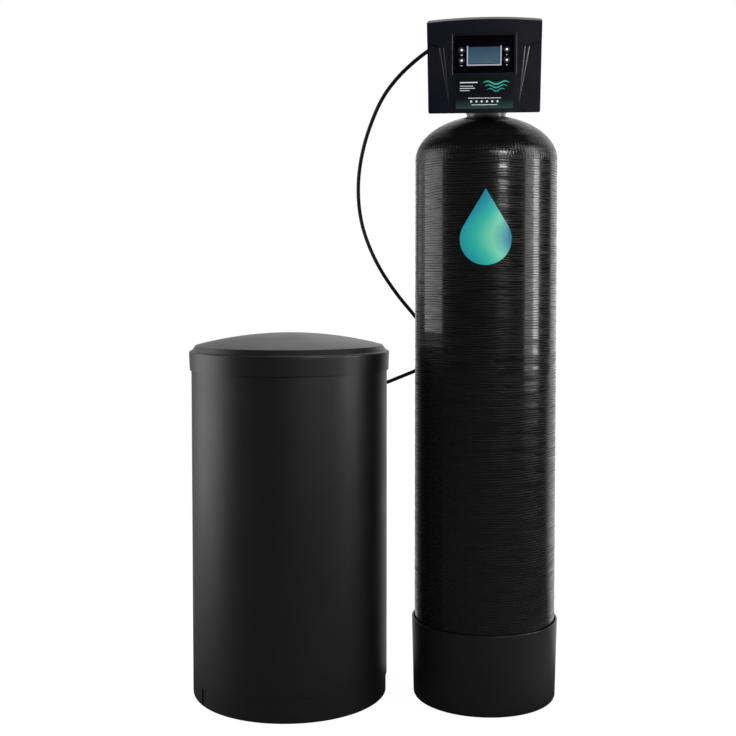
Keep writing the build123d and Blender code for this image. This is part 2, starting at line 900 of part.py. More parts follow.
def drive_motor():
    """Gear motor with two screw ears against the plate."""
    front_y = plate_front_y - motor_length
    body = along_y(motor_radius, front_y, plate_front_y, motor_x, motor_z)
    body += block((motor_x - motor_ear_radius, plate_front_y - motor_ear_thickness,
                   motor_z - motor_ear_reach + motor_ear_radius),
                  (motor_x + motor_ear_radius, plate_front_y, motor_z + motor_ear_reach - motor_ear_radius))
    for x, z in motor_ears():
        body += along_y(motor_ear_radius, plate_front_y - motor_ear_thickness, plate_front_y, x, z)
    for x, z in motor_ears():
        body -= along_y(small_screw_radius + thread_gap, plate_front_y - motor_ear_thickness - overrun,
                        plate_front_y + overrun, x, z)
    return body - along_y(motor_shaft_radius + running_gap, front_y - overrun,
                          front_y + motor_bore_depth, motor_x, motor_z)


def motor_screws():
    """Screws that hold the motor to the plate."""
    one = screw(small_screw_radius, small_head_radius, small_head_height,
                motor_ear_thickness + plate_rear_y - plate_front_y - seat_gap)
    front_y = plate_front_y - motor_ear_thickness
    return [Pos(x, front_y, z) * Rot(-90, 0, 0) * one for x, z in motor_ears()]


def cover_outline(inset):
    """Front outline of the cover, drawn in by an inset: straight sides under a shallow arch."""
    half_top = cover_top_width / 2 - inset
    half_foot = cover_foot_width / 2 - inset
    low, side, crown = cover_low_z + inset, cover_side_z - inset, cover_crown_z - inset
    outline = make_face([
        Line((-half_top, side), (-half_foot, low)),
        Line((-half_foot, low), (half_foot, low)),
        Line((half_foot, low), (half_top, side)),
        ThreePointArc((half_top, side), (0, crown), (-half_top, side)),
    ])
    outline = fillet(outline.vertices().group_by(Axis.Y)[-1], cover_corner_round - inset)
    return fillet(outline.vertices().group_by(Axis.Y)[0], cover_foot_round - inset)


def crown_bevel():
    """Ring that cuts the bevel along the arch: a cone round the arch's own axis."""
    half_top = cover_top_width / 2
    rise = cover_crown_z - cover_side_z
    radius = (half_top ** 2 + rise ** 2) / 2 / rise
    outer = radius + cover_top_bevel
    profile = Polyline((radius - cover_top_bevel, 0), (outer, 2 * cover_top_bevel),
                       (outer, -overrun), (radius - cover_top_bevel, -overrun), close=True)
    ring_solid = revolve(make_face(profile), Axis.Y)
    return Pos(cover_shift_x, cover_front_y, cover_crown_z - radius) * ring_solid


def cover_prism(inset, near_y, far_y):
    """The cover's outline carried from one depth to another, over a floor that rises to the rear."""
    flat = Plane((cover_shift_x, far_y, 0), x_dir=(1, 0, 0), z_dir=(0, -1, 0))
    return extrude(flat * cover_outline(inset), far_y - near_y) - foot_wedge(inset)


def foot_wedge(inset):
    """Wedge under the cover: its upper face rises from the front edge to the rear."""
    reach_y = cover_rear_y - cover_front_y + 2 * overrun
    low_z = cover_low_z + inset
    points = [
        (cover_front_y, low_z), (cover_front_y, low_z - 2 * overrun),
        (cover_front_y + reach_y, low_z - 2 * overrun),
        (cover_front_y + reach_y, low_z + cover_foot_slope * reach_y),
    ]
    flat = Plane((cover_shift_x - cover_top_width, 0, 0), x_dir=(0, 1, 0), z_dir=(1, 0, 0))
    return extrude(flat * make_face(Polyline(*points, close=True)), 2 * cover_top_width)


def wing_section(side, depth, grow, step=0):
    """Outline of a side field at a depth behind the front: its sloping edges draw in with depth."""
    half = cover_top_width / 2
    inner_shift = wing_side_slope * depth - grow
    crease_drop = wing_crease_slope * depth - grow
    crease_rise = (wing_crease_outer_z - wing_crease_inner_z) / (half - wing_inner_x)
    side_lean = (wing_inner_x - wing_low_x) / (wing_crease_inner_z - wing_low_z)
    outer_x = 2 * half
    outer_z = wing_crease_inner_z - crease_drop + crease_rise * (outer_x - wing_inner_x)
    corner_z = wing_crease_inner_z - crease_drop + crease_rise * inner_shift
    corner_x = wing_inner_x + step + inner_shift + side_lean * (corner_z - wing_crease_inner_z)
    points = [(outer_x, outer_z), (corner_x, corner_z), (wing_low_x + inner_shift, wing_low_z),
              (outer_x, wing_low_z)]
    flat = Plane((cover_shift_x, cover_front_y + depth, 0), x_dir=(1, 0, 0), z_dir=(0, -1, 0))
    return flat * make_face(Polyline(*[(side * x, z) for x, z in points], close=True))


def wing_field(side, near_depth, far_depth, grow, step=0):
    """A side field of the cover's front between two depths."""
    return loft([wing_section(side, near_depth, grow, step), wing_section(side, far_depth, grow, step)],
                ruled=True)


def wing_wedge(shift, share=1):
    """Wedge that is deepest at the crease and runs out at the foot of the side fields."""
    slope = share * wing_depth / (wing_crease_outer_z - wing_low_z)
    top_z = cover_crown_z
    points = [
        (cover_front_y - 2 * overrun, wing_low_z),
        (cover_front_y + shift, wing_low_z),
        (cover_front_y + shift + slope * (top_z - wing_low_z), top_z),
        (cover_front_y - 2 * overrun, top_z),
    ]
    flat = Plane((cover_shift_x - cover_top_width, 0, 0), x_dir=(0, 1, 0), z_dir=(1, 0, 0))
    return extrude(flat * make_face(Polyline(*points, close=True)), 2 * cover_top_width)


def board_post_places():
    """Places of the four posts that carry the circuit board."""
    reach_x = board_width / 2 - board_post_inset
    reach_z = board_height / 2 - board_post_inset
    return [(cover_shift_x + a * reach_x, pocket_z + b * reach_z) for a in (-1, 1) for b in (-1, 1)]


def cover_boss_places():
    """Places of the four screw bosses in the cover's corners."""
    reach = cover_foot_width / 2 - boss_inset_x
    return [(cover_shift_x + a * reach, z) for a in (-1, 1) for z in (boss_low_z, boss_high_z)]


def key_places():
    """Names and places of the four keys."""
    return {
        "key_upper_left": (cover_shift_x - key_x, key_high_z),
        "key_lower_left": (cover_shift_x - key_x, key_low_z),
        "key_upper_right": (cover_shift_x + key_x, key_high_z),
        "key_lower_right": (cover_shift_x + key_x, key_low_z),
    }


def front_plate(width, height, middle_x, middle_z, near_y, far_y):
    """A flat block that faces the front."""
    return block((middle_x - width / 2, near_y, middle_z - height / 2),
                 (middle_x + width / 2, far_y, middle_z + height / 2))


def front_cover():
    """Moulded cover with its arched top, side fields, display pocket and label recess."""
    shell = cover_prism(0, cover_front_y, cover_rear_y) - crown_bevel()
    hollow = cover_prism(cover_wall, cover_front_y + cover_wall, cover_rear_y + overrun)
    hollow -= Pos(0, cover_wall, -cover_wall) * crown_bevel()
    for side in (-1, 1):
        shell -= wing_field(side, -overrun, wing_depth + overrun, 0) & wing_wedge(0, wing_step_share)
        shell -= wing_field(side, -overrun, wing_depth + overrun, 0, wing_step_width) & wing_wedge(0)
        hollow -= wing_field(side, 0, cover_wall + wing_depth + overrun, 2 * cover_wall) & wing_wedge(
            cover_wall)
    shell -= hollow
    notch_top_z = cover_low_z + cover_wall + cover_foot_slope * (cover_rear_y - cover_front_y) + overrun
    shell -= upright(cover_notch_radius, cover_low_z - overrun, notch_top_z)
    bead_low = front_plate(pocket_width + 2 * bead_margin + 2 * bead_width,
                           pocket_height + 2 * bead_margin + 2 * bead_width,
                           cover_shift_x, pocket_z, cover_front_y - bead_height, cover_front_y)
    bead_inner = front_plate(pocket_width + 2 * bead_margin, pocket_height + 2 * bead_margin,
                             cover_shift_x, pocket_z, cover_front_y - bead_height - overrun,
                             cover_front_y)
    bead = bead_low - bead_inner
    shell += chamfer(bead.faces().sort_by(Axis.Y)[0].edges(), bead_bevel)
    for x, z in board_post_places():
        shell += along_y(board_post_radius, cover_front_y + cover_wall - seat_gap, board_front_y, x, z)
    for x, z in cover_boss_places():
        shell += along_y(boss_radius, cover_front_y + cover_wall - seat_gap, plate_front_y, x, z)
    shell -= front_plate(pocket_width, pocket_height, cover_shift_x, pocket_z,
                         cover_front_y - bead_height - overrun, cover_front_y + pocket_depth)
    shell -= front_plate(glass_width + 2 * (glass_lip + module_clearance),
                         glass_height + 2 * (glass_lip + module_clearance),
                         cover_shift_x, glass_z, cover_front_y, cover_front_y + cover_wall + overrun)
    for x, z in key_places().values():
        shell -= along_y(key_radius + slip_gap, cover_front_y, cover_front_y + cover_wall + overrun, x, z)
    shell -= front_plate(label_width + 2 * label_clearance, label_height + 2 * label_clearance,
                         cover_shift_x + label_shift_x, label_low_z + label_height / 2,
                         cover_front_y - overrun, cover_front_y + label_thickness)
    for x, z in board_post_places():
        shell -= along_y(small_screw_radius + thread_gap, board_front_y - small_screw_reach,
                         board_front_y + overrun, x, z)
    for x, z in cover_boss_places():
        shell -= along_y(cover_screw_radius + thread_gap, plate_front_y - cover_screw_reach,
                         plate_front_y + overrun, x, z)
    return shell


def back_plate():
    """Flat plate that closes the cover and carries the drive."""
    plate = cover_prism(cover_wall + plate_edge_gap, plate_front_y, plate_rear_y)
    plate -= along_y(barrel_bore_radius, plate_front_y - overrun, plate_rear_y + overrun, 0, barrel_z)
    for x, z in cap_screw_places():
        plate -= along_y(cap_screw_radius + thread_gap, plate_front_y - overrun,
                         plate_rear_y + overrun, x, z)
    for x, z in cover_boss_places():
        plate -= along_y(cover_screw_radius + thread_gap, plate_front_y - overrun,
                         plate_rear_y + overrun, x, z)
    for x, z in motor_ears():
        plate -= along_y(small_screw_radius + thread_gap, plate_front_y - overrun,
                         plate_rear_y + overrun, x, z)
    return plate - along_y(jack_radius + seat_gap, plate_front_y - overrun, plate_rear_y + overrun,
                           jack_x, jack_z)


def cover_screws():
    """Screws from behind through the plate into the cover's bosses."""
    one = screw(cover_screw_radius, cover_head_radius, cover_head_height,
                cover_screw_reach - overrun)
    return [Pos(x, plate_rear_y, z) * Rot(90, 0, 0) * one for x, z in cover_boss_places()]


def power_jack():
    """Low-voltage inlet in the back plate."""
    body = along_y(jack_radius, plate_front_y - jack_depth, plate_rear_y, jack_x, jack_z)
    body += along_y(jack_radius + jack_lip, plate_rear_y, plate_rear_y + jack_lip, jack_x, jack_z)
    body -= along_y(jack_bore_radius, plate_front_y - jack_depth + jack_lip,
                    plate_rear_y + jack_lip + overrun, jack_x, jack_z)
    return body + along_y(jack_pin_radius, plate_front_y - jack_depth + overrun, plate_rear_y,
                          jack_x, jack_z)


def display_panel():
    """Glossy panel with the window and the four key holes."""
    width, height = pocket_width - 2 * panel_clearance, pocket_height - 2 * panel_clearance
    near_y, far_y = cover_front_y + panel_recess, cover_front_y + pocket_depth
    panel = front_plate(width, height, cover_shift_x, pocket_z, near_y, far_y)
    panel -= front_plate(glass_width + 2 * panel_clearance, glass_height + 2 * panel_clearance,
                         cover_shift_x, glass_z, near_y - overrun, far_y + overrun)
    for x, z in key_places().values():
        panel -= along_y(key_radius + slip_gap, near_y - overrun, far_y + overrun, x, z)
    return panel


def display_lens():
    """Clear window, stepped so that it sits in the panel from behind."""
    near_y, far_y = cover_front_y + panel_recess, cover_front_y + pocket_depth
    lens = front_plate(glass_width, glass_height, cover_shift_x, glass_z, near_y, far_y)
    return lens + front_plate(glass_width + 2 * glass_lip, glass_height + 2 * glass_lip,
                              cover_shift_x, glass_z, far_y, far_y + glass_lip_thickness)


def display_trim():
    """Silver U-shaped bar round the window, open at its top."""
    near_y, far_y = cover_front_y + panel_recess - trim_proud, cover_front_y + panel_recess
    bar = front_plate(trim_width, trim_height, cover_shift_x, trim_height_z, near_y, far_y)
    opening_width = trim_width - 2 * trim_bar
    gap = block((cover_shift_x - opening_width / 2, near_y - overrun,
                 trim_height_z - trim_height / 2 + trim_bar),
                (cover_shift_x + opening_width / 2, far_y + overrun,
                 trim_height_z + trim_height / 2 + overrun))
    return bar - gap


def display_module():
    """Display with its frame and light guide, on the circuit board behind the window."""
    near_y = cover_front_y + pocket_depth + glass_lip_thickness + module_clearance
    return front_plate(glass_width + 2 * module_margin, glass_height + 2 * module_margin,
                       cover_shift_x, glass_z, near_y, board_front_y)


def circuit_board():
    """Board on the cover's four posts."""
    far_y = board_front_y + board_thickness
    board = front_plate(board_width, board_height, cover_shift_x, pocket_z, board_front_y, far_y)
    for x, z in board_post_places():
        board -= along_y(small_screw_radius + thread_gap, board_front_y - overrun, far_y + overrun, x, z)
    return board


def board_screws():
    """Screws from behind through the board into the posts."""
    one = screw(small_screw_radius, small_head_radius, small_head_height,
                board_thickness + small_screw_reach - overrun)
    far_y = board_front_y + board_thickness
    return [Pos(x, far_y, z) * Rot(90, 0, 0) * one for x, z in board_post_places()]


def key_switches():
    """Push switches on the board, one behind each key."""
    solids = []
    for x, z in key_places().values():
        solids.append(front_plate(switch_size, switch_size, x, z,
                                  board_front_y - switch_height, board_front_y))
    return solids


def key(x, z):
    """A round key: cap with a dimple, flange behind the cover's wall and a stem to its switch."""
    flange_near_y = cover_front_y + cover_wall + slip_gap
    flange_far_y = flange_near_y + key_flange_thickness
    stem_end_y = board_front_y - switch_height - key_stop_gap
    front_y = cover_front_y - key_proud
    body = along_y(key_radius, front_y, flange_near_y, x, z)
    body += along_y(key_flange_radius, flange_near_y, flange_far_y, x, z)
    body += along_y(key_stem_radius, flange_far_y, stem_end_y, x, z)
    return body - along_y(key_dot_radius, front_y - overrun, front_y + key_dot_depth, x, z)


def front_label():
    """Thin label plate in its recess under the display."""
    return front_plate(label_width, label_height, cover_shift_x + label_shift_x,
                       label_low_z + label_height / 2, cover_front_y, cover_front_y + label_thickness)


def injector_nozzle():
    """Nozzle with a fine orifice, in the seat bore."""
    start_x = injector_bore_end_x
    body = along_x(injector_seat_radius - seat_gap, start_x, start_x + injector_part_length,
                   injector_y, injector_z)
    cone = Pos(start_x, injector_y, injector_z) * Rot(0, 90, 0) * Cone(
        injector_cone_radius, injector_orifice_radius, injector_part_length / 2,
        align=(Align.CENTER, Align.CENTER, Align.MIN))
    return body - cone - along_x(injector_orifice_radius, start_x, start_x + injector_part_length
                                 + overrun, injector_y, injector_z)


def injector_throat():
    """Flared throat behind the nozzle."""
    start_x = injector_bore_end_x + injector_part_length
    body = along_x(injector_seat_radius - seat_gap, start_x, start_x + injector_part_length,
                   injector_y, injector_z)
    cone = Pos(start_x, injector_y, injector_z) * Rot(0, 90, 0) * Cone(
        injector_throat_radius, injector_cone_radius, injector_part_length,
        align=(Align.CENTER, Align.CENTER, Align.MIN))
    return body - cone


def injector_screen():
    """Slotted sleeve that keeps grit out of the nozzle."""
    outer = injector_bore_radius - slip_gap
    start_x = injector_end_x + injector_cap_spigot + seat_gap
    sleeve = along_x(outer, start_x, injector_bore_end_x - seat_gap, injector_y, injector_z)
    sleeve -= along_x(outer - screen_wall, start_x - overrun, injector_bore_end_x + overrun,
                      injector_y, injector_z)
    for turn in range(screen_slots // 2):
        slot = block((start_x + screen_wall, -outer - overrun, -screen_slot_width / 2),
                     (injector_bore_end_x - seat_gap - screen_wall, outer + overrun,
                      screen_slot_width / 2))
        sleeve -= Pos(0, injector_y, injector_z) * Rot(360 / screen_slots * turn, 0, 0) * slot
    return sleeve


def injector_cap():
    """Screwed cap that closes the injector housing."""
    flat = Plane((injector_end_x, injector_y, injector_z), x_dir=(0, 1, 0), z_dir=(-1, 0, 0))
    head = extrude(flat * RegularPolygon(injector_radius, 8), injector_cap_thickness)
    return head + along_x(injector_bore_radius - seat_gap, injector_end_x,
                          injector_end_x + injector_cap_spigot, injector_y, injector_z)


def brine_elbow():
    """Elbow from the brine tower to the brine line."""
    plug_low_z = brine_tower_top_z - elbow_plug_length
    body = upright(tower_bore_radius - seat_gap, plug_low_z, brine_tower_top_z, -tower_x, tower_y)
    body += upright(elbow_radius, brine_tower_top_z, brine_arm_z, -tower_x, tower_y)
    body += Pos(-tower_x, tower_y, brine_arm_z) * Sphere(elbow_radius)
    body += along_x(elbow_radius, brine_arm_end_x, -tower_x, tower_y, brine_arm_z)
    body -= upright(elbow_bore_radius, plug_low_z - overrun, brine_arm_z, -tower_x, tower_y)
    return body - along_x(elbow_bore_radius, brine_arm_end_x - overrun, -tower_x, tower_y, brine_arm_z)


def tube_nut():
    """Nut that grips the brine line on the elbow."""
    start_x = tube_nut_end_x + tube_nut_length
    flat = Plane((tube_nut_end_x, tower_y, brine_arm_z), x_dir=(0, 1, 0), z_dir=(1, 0, 0))
    body = extrude(flat * RegularPolygon(tube_nut_radius, 6, major_radius=False), tube_nut_length)
    body -= along_x(elbow_radius + seat_gap, brine_arm_end_x, start_x + overrun, tower_y, brine_arm_z)
    return body - along_x(elbow_bore_radius, tube_nut_end_x - overrun, brine_arm_end_x + overrun,
                          tower_y, brine_arm_z)


def control_disc(x, top_z):
    """Rubber disc with a small hole that holds a flow steady."""
    body = upright(tower_bore_radius - seat_gap, top_z - control_disc_thickness, top_z, x, tower_y)
    return body - upright(control_hole_radius, top_z - control_disc_thickness - overrun,
                          top_z + overrun, x, tower_y)


def refill_control():
    """Flow control disc under the brine elbow."""
    return control_disc(-tower_x, brine_tower_top_z - elbow_plug_length)


def drain_control():
    """Flow control disc under the drain elbow."""
    return control_disc(tower_x, drain_tower_top_z - elbow_plug_length / 2)


def drain_elbow():
    """Elbow from the drain tower to the drain stub at the back."""
    plug_low_z = drain_tower_top_z - elbow_plug_length / 2
    stub_end_y = drain_arm_end_y + drain_stub_length
    body = upright(tower_bore_radius - seat_gap, plug_low_z, drain_tower_top_z, tower_x, tower_y)
    body += upright(elbow_radius, drain_tower_top_z, drain_arm_z, tower_x, tower_y)
    body += Pos(tower_x, tower_y, drain_arm_z) * Sphere(elbow_radius)
    body += along_y(elbow_radius, tower_y, drain_arm_end_y, tower_x, drain_arm_z)
    body += along_y(drain_stub_radius, drain_arm_end_y, stub_end_y, tower_x, drain_arm_z)
    body -= upright(drain_stub_bore_radius, plug_low_z - overrun, drain_arm_z, tower_x, tower_y)
    return body - along_y(drain_stub_bore_radius, tower_y, stub_end_y + overrun, tower_x, drain_arm_z)


def port_clips():
    """Spring clips on the two towers, open to the back."""
    solids = []
    for x, top_z in ((-tower_x, brine_tower_top_z), (tower_x, drain_tower_top_z)):
        outer = elbow_radius + seat_gap + clip_width
        clip = ring(outer, elbow_radius + seat_gap, top_z, top_z + clip_thickness, x, tower_y)
        clip -= block((x - elbow_radius / 2, tower_y, top_z - overrun),
                      (x + elbow_radius / 2, tower_y + outer + overrun, top_z + clip_thickness + overrun))
        solids.append(clip)
    return solids


def meter_turbine():
    """Bladed wheel that the water turns."""
    hub = along_y(turbine_hub_radius, turbine_front_y, turbine_front_y + turbine_length, port_x, port_z)
    for turn in range(turbine_blades):
        blade = Pos(0, 0, turbine_radius / 2) * Rot(0, 0, turbine_blade_pitch) * Box(
            turbine_blade_thickness, turbine_length, turbine_radius)
        middle_y = turbine_front_y + turbine_length / 2
        hub += Pos(port_x, middle_y, port_z) * Rot(0, 360 / turbine_blades * turn, 0) * blade
    hub &= along_y(turbine_radius, turbine_front_y, turbine_front_y + turbine_length, port_x, port_z)
    return hub - along_y(turbine_axle_radius + running_gap, turbine_front_y - overrun,
                         turbine_front_y + turbine_length + overrun, port_x, port_z)


def meter_cage():
    """Two spiders and the axle that carry the turbine."""
    outer = port_bore_radius - seat_gap
    front_y = turbine_front_y - cage_gap - cage_thickness
    rear_y = turbine_front_y + turbine_length + cage_gap
    body = along_y(turbine_axle_radius, front_y, rear_y + cage_thickness, port_x, port_z)
    for near_y in (front_y, rear_y):
        body += ring_y(outer, outer - cage_ring_wall, near_y, near_y + cage_thickness, port_x, port_z)
        for wide, tall in ((outer, cage_ring_wall), (cage_ring_wall, outer)):
            body += block((port_x - wide + cage_ring_wall / 2, near_y, port_z - tall + cage_ring_wall / 2),
                          (port_x + wide - cage_ring_wall / 2, near_y + cage_thickness,
                           port_z + tall - cage_ring_wall / 2))
    return body


def meter_sensor():
    """Pickup that counts the turbine's turns, in its pocket over the outlet port."""
    low_z = port_z + port_radius - cage_thickness + seat_gap
    middle_y = turbine_front_y + turbine_length / 2
    body = upright(sensor_radius, low_z, port_z + port_radius + sensor_height, port_x, middle_y)
    return fillet(body.edges().group_by(Axis.Z)[-1], sensor_edge_round)


def bypass_body():
    """Two barrels along Y joined by a cross tube, each with an upright housing for a rotor."""
    house_low_z = rotor_low_z - rotor_house_floor
    body = None
    for side in (-1, 1):
        x = side * port_x
        barrel = along_y(bypass_radius, bypass_tail_y + union_collar_length + union_lip + overrun,
                         bypass_end_y, x, port_z)
        barrel += along_y(port_radius, bypass_tail_y, bypass_y, x, port_z)
        barrel += along_y(union_collar_radius, bypass_tail_y, bypass_tail_y + union_collar_length,
                          x, port_z)
        barrel += along_y(collar_radius, bypass_end_y - collar_length, bypass_end_y, x, port_z)
        barrel += upright(rotor_house_radius, house_low_z, rotor_top_z, x, bypass_y)
        body = barrel if body is None else body + barrel
    body += along_x(bypass_cross_radius, -port_x, port_x, bypass_y, port_z)
    body -= along_x(bypass_cross_bore_radius, -port_x, port_x, bypass_y, port_z)
    for side in (-1, 1):
        x = side * port_x
        body -= along_y(port_bore_radius, bypass_tail_y - overrun, bypass_end_y + overrun, x, port_z)
        body -= upright(rotor_radius + running_gap, rotor_low_z - seat_gap, rotor_top_z + overrun,
                        x, bypass_y)
    return body


def bypass_rotor(side):
    """Quarter-turn plug with a straight way through it and a side way to the cross tube."""
    x = side * port_x
    neck_top_z = rotor_top_z + rotor_cap_thickness + rotor_neck_rise
    body = upright(rotor_radius, rotor_low_z, rotor_top_z - seat_gap, x, bypass_y)
    body += upright(rotor_neck_radius, rotor_top_z - seat_gap, neck_top_z, x, bypass_y)
    body -= along_y(rotor_way_radius, bypass_y - bypass_radius, bypass_y + bypass_radius, x, port_z)
    if side < 0:
        return body - along_x(rotor_way_radius, x - bypass_radius, x, bypass_y, port_z)
    return body - along_x(rotor_way_radius, x, x + bypass_radius, bypass_y, port_z)


def bypass_caps():
    """Screwed caps that keep the rotors in their housings."""
    return [ring(rotor_house_radius, rotor_neck_radius + running_gap, rotor_top_z,
                 rotor_top_z + rotor_cap_thickness, side * port_x, bypass_y) for side in (-1, 1)]


def bypass_knob(side):
    """Pointer knob on top of a rotor, along the pipe when the water runs through."""
    low_z = rotor_top_z + rotor_cap_thickness + rotor_neck_rise
    x = side * port_x
    shoulder_y = knob_length / 2 - knob_length * knob_point_share
    bar = make_face(Polyline(
        (-knob_width / 2, -knob_length / 2), (knob_width / 2, -knob_length / 2),
        (knob_width / 2, shoulder_y), (0, knob_length / 2), (-knob_width / 2, shoulder_y), close=True))
    bar = fillet(bar.vertices(), knob_corner_round)
    body = extrude(Plane((x, bypass_y, low_z)) * bar, knob_height)
    return chamfer(body.faces().sort_by(Axis.Z)[-1].edges(), knob_edge_bevel)


def union_places():
    """Joint faces of the four unions and the radius of the pipe that each lip goes round."""
    places = []
    for side in (-1, 1):
        places.append((side * port_x, port_end_y, port_radius))
        places.append((side * port_x, bypass_end_y, pipe_shank_radius))
    return places


def union_nuts():
    """Nuts that draw a loose collar against a threaded end."""
    solids = []
    for x, face_y, lip_radius in union_places():
        start_y = face_y - collar_length
        lip_y = face_y + gasket_thickness + union_collar_length + slip_gap
        flat = Plane((x, start_y, port_z), x_dir=(1, 0, 0), z_dir=(0, 1, 0))
        outline = RegularPolygon(union_nut_radius, union_nut_sides, major_radius=False,
                                 rotation=180 / union_nut_sides)
        nut = extrude(flat * outline, lip_y + union_lip - start_y)
        nut -= along_y(collar_radius + slip_gap, start_y - overrun, lip_y, x, port_z)
        nut -= along_y(lip_radius + slip_gap, start_y, lip_y + union_lip + overrun, x, port_z)
        solids.append(nut)
    return solids


def union_gaskets():
    """Flat rings between the joint faces."""
    return [ring_y(union_collar_radius, port_bore_radius, face_y, face_y + gasket_thickness, x, port_z)
            for x, face_y, _ in union_places()]


def pipe_adapter(side):
    """Smooth pipe end with the collar that its union nut pulls on."""
    x = side * port_x
    start_y = bypass_end_y + gasket_thickness
    body = along_y(pipe_radius, start_y, pipe_end_y, x, port_z)
    body += along_y(pipe_shank_radius, start_y, pipe_end_y - pipe_tail_length, x, port_z)
    body += along_y(union_collar_radius, start_y, start_y + union_collar_length, x, port_z)
    return body - along_y(pipe_bore_radius, start_y - overrun, pipe_end_y + overrun, x, port_z)


def on_brine(shape):
    """Moves a shape from the brine tank's own axis to its place."""
    return Pos(brine_x, brine_y, 0) * shape


def radial(shape, angle, z):
    """Turns a shape made along +X so that it points outwards from the brine tank's axis."""
    return Pos(brine_x, brine_y, z) * Rot(0, 0, angle) * shape


def brine_tank():
    """Open round tank with a shallow band cut round its foot."""
    outer = FilletPolyline((0, 0), (brine_radius, 0), (brine_radius, brine_rim_z),
                           (brine_radius - brine_wall, brine_rim_z),
                           radius=[brine_edge_round, brine_rim_round])
    inner = FilletPolyline((brine_radius - brine_wall, brine_rim_z), (brine_radius - brine_wall, brine_floor),
                           (0, brine_floor), radius=[brine_edge_round - brine_wall])
    close = Line((0, brine_floor), (0, 0))
    cup = revolve(Plane.XZ * make_face([*outer.edges(), *inner.edges(), close]), Axis.Z)
    cup -= foot_band()
    for z, radius in wall_holes():
        cup -= Pos(0, 0, z) * Rot(0, 0, well_angle) * along_x(radius, well_reach, brine_radius + brine_wall)
    cup -= along_y(overflow_radius + thread_gap, brine_radius / 2, brine_radius + brine_wall, 0, overflow_z)
    return on_brine(cup)


def wall_holes():
    """Heights and radii of the holes that the tank's wall and the well's wall share."""
    return [(line_entry_z, line_fitting_radius + seat_gap),
            (well_bolt_low_z, well_bolt_radius + thread_gap),
            (well_bolt_high_z, well_bolt_radius + thread_gap)]


def foot_band():
    """Ring that is cut from the foot, under an arched top line, from its left end to the right."""
    skin = ring(brine_radius + overrun, brine_radius - foot_band_depth, -overrun, brine_radius)
    start_x = brine_radius * math.cos(math.radians(foot_band_start))
    wide = 2 * brine_radius
    outline = [
        Line((start_x, -overrun), (wide, -overrun)),
        Line((wide, -overrun), (wide, foot_band_right_z)),
        Line((wide, foot_band_right_z), (brine_radius, foot_band_right_z)),
        ThreePointArc((brine_radius, foot_band_right_z), (0, foot_band_middle_z),
                      (start_x, foot_band_left_z)),
        Line((start_x, foot_band_left_z), (start_x, -overrun)),
    ]
    flat = Plane((0, foot_band_rear_y, 0), x_dir=(1, 0, 0), z_dir=(0, -1, 0))
    return skin & extrude(flat * make_face(outline), wide)


def lid_form(inset, low_z):
    """Outer form of the lid, drawn in by an inset: skirt, ledge, steep shoulder and a low dome."""
    path = FilletPolyline(
        (lid_foot_radius - inset, low_z), (lid_top_radius - inset, lid_ledge_z - inset),
        (lid_shoulder_foot_radius - inset, lid_ledge_z - inset),
        (lid_plateau_radius - inset, lid_plateau_z - inset),
        radius=[lid_edge_round - inset, lid_shoulder_round])
    rise = lid_crown_z - lid_plateau_z
    dome_radius = ((lid_plateau_radius - inset) ** 2 + rise ** 2) / 2 / rise
    half_radius = (lid_plateau_radius - inset) / 2
    half_z = lid_crown_z - inset - dome_radius + math.sqrt(dome_radius ** 2 - half_radius ** 2)
    outline = [
        *path.edges(),
        ThreePointArc((lid_plateau_radius - inset, lid_plateau_z - inset), (half_radius, half_z),
                      (0, lid_crown_z - inset)),
        Line((0, lid_crown_z - inset), (0, low_z)),
        Line((0, low_z), (lid_foot_radius - inset, low_z)),
    ]
    return revolve(Plane.XZ * make_face(outline), Axis.Z)


def brine_lid():
    """Lift-off lid whose skirt goes over the tank's rim."""
    lid = lid_form(0, lid_seam_z) - lid_form(lid_wall, lid_seam_z - overrun)
    return on_brine(lid)


def salt_grid():
    """Perforated platform that the salt stands on."""
    disc = upright(grid_radius, grid_low_z, grid_low_z + grid_thickness)
    well = (well_x - brine_x, well_y - brine_y)
    disc -= upright(well_radius + grid_well_gap, grid_low_z - overrun,
                    grid_low_z + grid_thickness + overrun, *well)
    holes = []
    for k in range(1, grid_ring_count + 1):
        reach = k * grid_ring_pitch
        count = k * grid_holes_per_ring
        for turn in range(count):
            angle = 2 * math.pi * turn / count
            x, y = reach * math.cos(angle), reach * math.sin(angle)
            away = math.hypot(x - well[0], y - well[1])
            if away > well_radius + grid_well_gap + 2 * grid_hole_radius and reach < grid_radius:
                holes.append(upright(grid_hole_radius, grid_low_z - overrun,
                                     grid_low_z + grid_thickness + overrun, x, y))
    return on_brine(disc - holes)


def grid_legs():
    """Tube legs under the platform."""
    places = [(0, 0)]
    for k in range(leg_count):
        angle = math.radians(leg_first_angle + k * leg_step_angle)
        places.append((leg_circle * math.cos(angle), leg_circle * math.sin(angle)))
    return [on_brine(ring(leg_radius, leg_radius - leg_wall, brine_floor, grid_low_z, x, y))
            for x, y in places]


def brine_well():
    """Upright tube that keeps salt away from the float valve, with notches at its foot."""
    tube = ring(well_radius, well_radius - well_wall, well_low_z, well_top_z)
    for turn in range(well_foot_notches // 2):
        slot = block((-well_radius - overrun, -well_foot_notch / 2, well_low_z - overrun),
                     (well_radius + overrun, well_foot_notch / 2, well_low_z + well_foot_notch))
        tube -= Rot(0, 0, 360 / well_foot_notches * turn + well_angle) * slot
    for z, radius in wall_holes():
        tube -= Pos(0, 0, z) * Rot(0, 0, well_angle) * along_x(radius, 0, well_radius + overrun)
    return Pos(well_x, well_y, 0) * tube


def well_flat_x(head_radius):
    """Radial place inside the well where a flat head or nut of this radius clears the wall."""
    inner = well_radius - well_wall
    return well_reach + math.sqrt(inner ** 2 - head_radius ** 2) - seat_gap


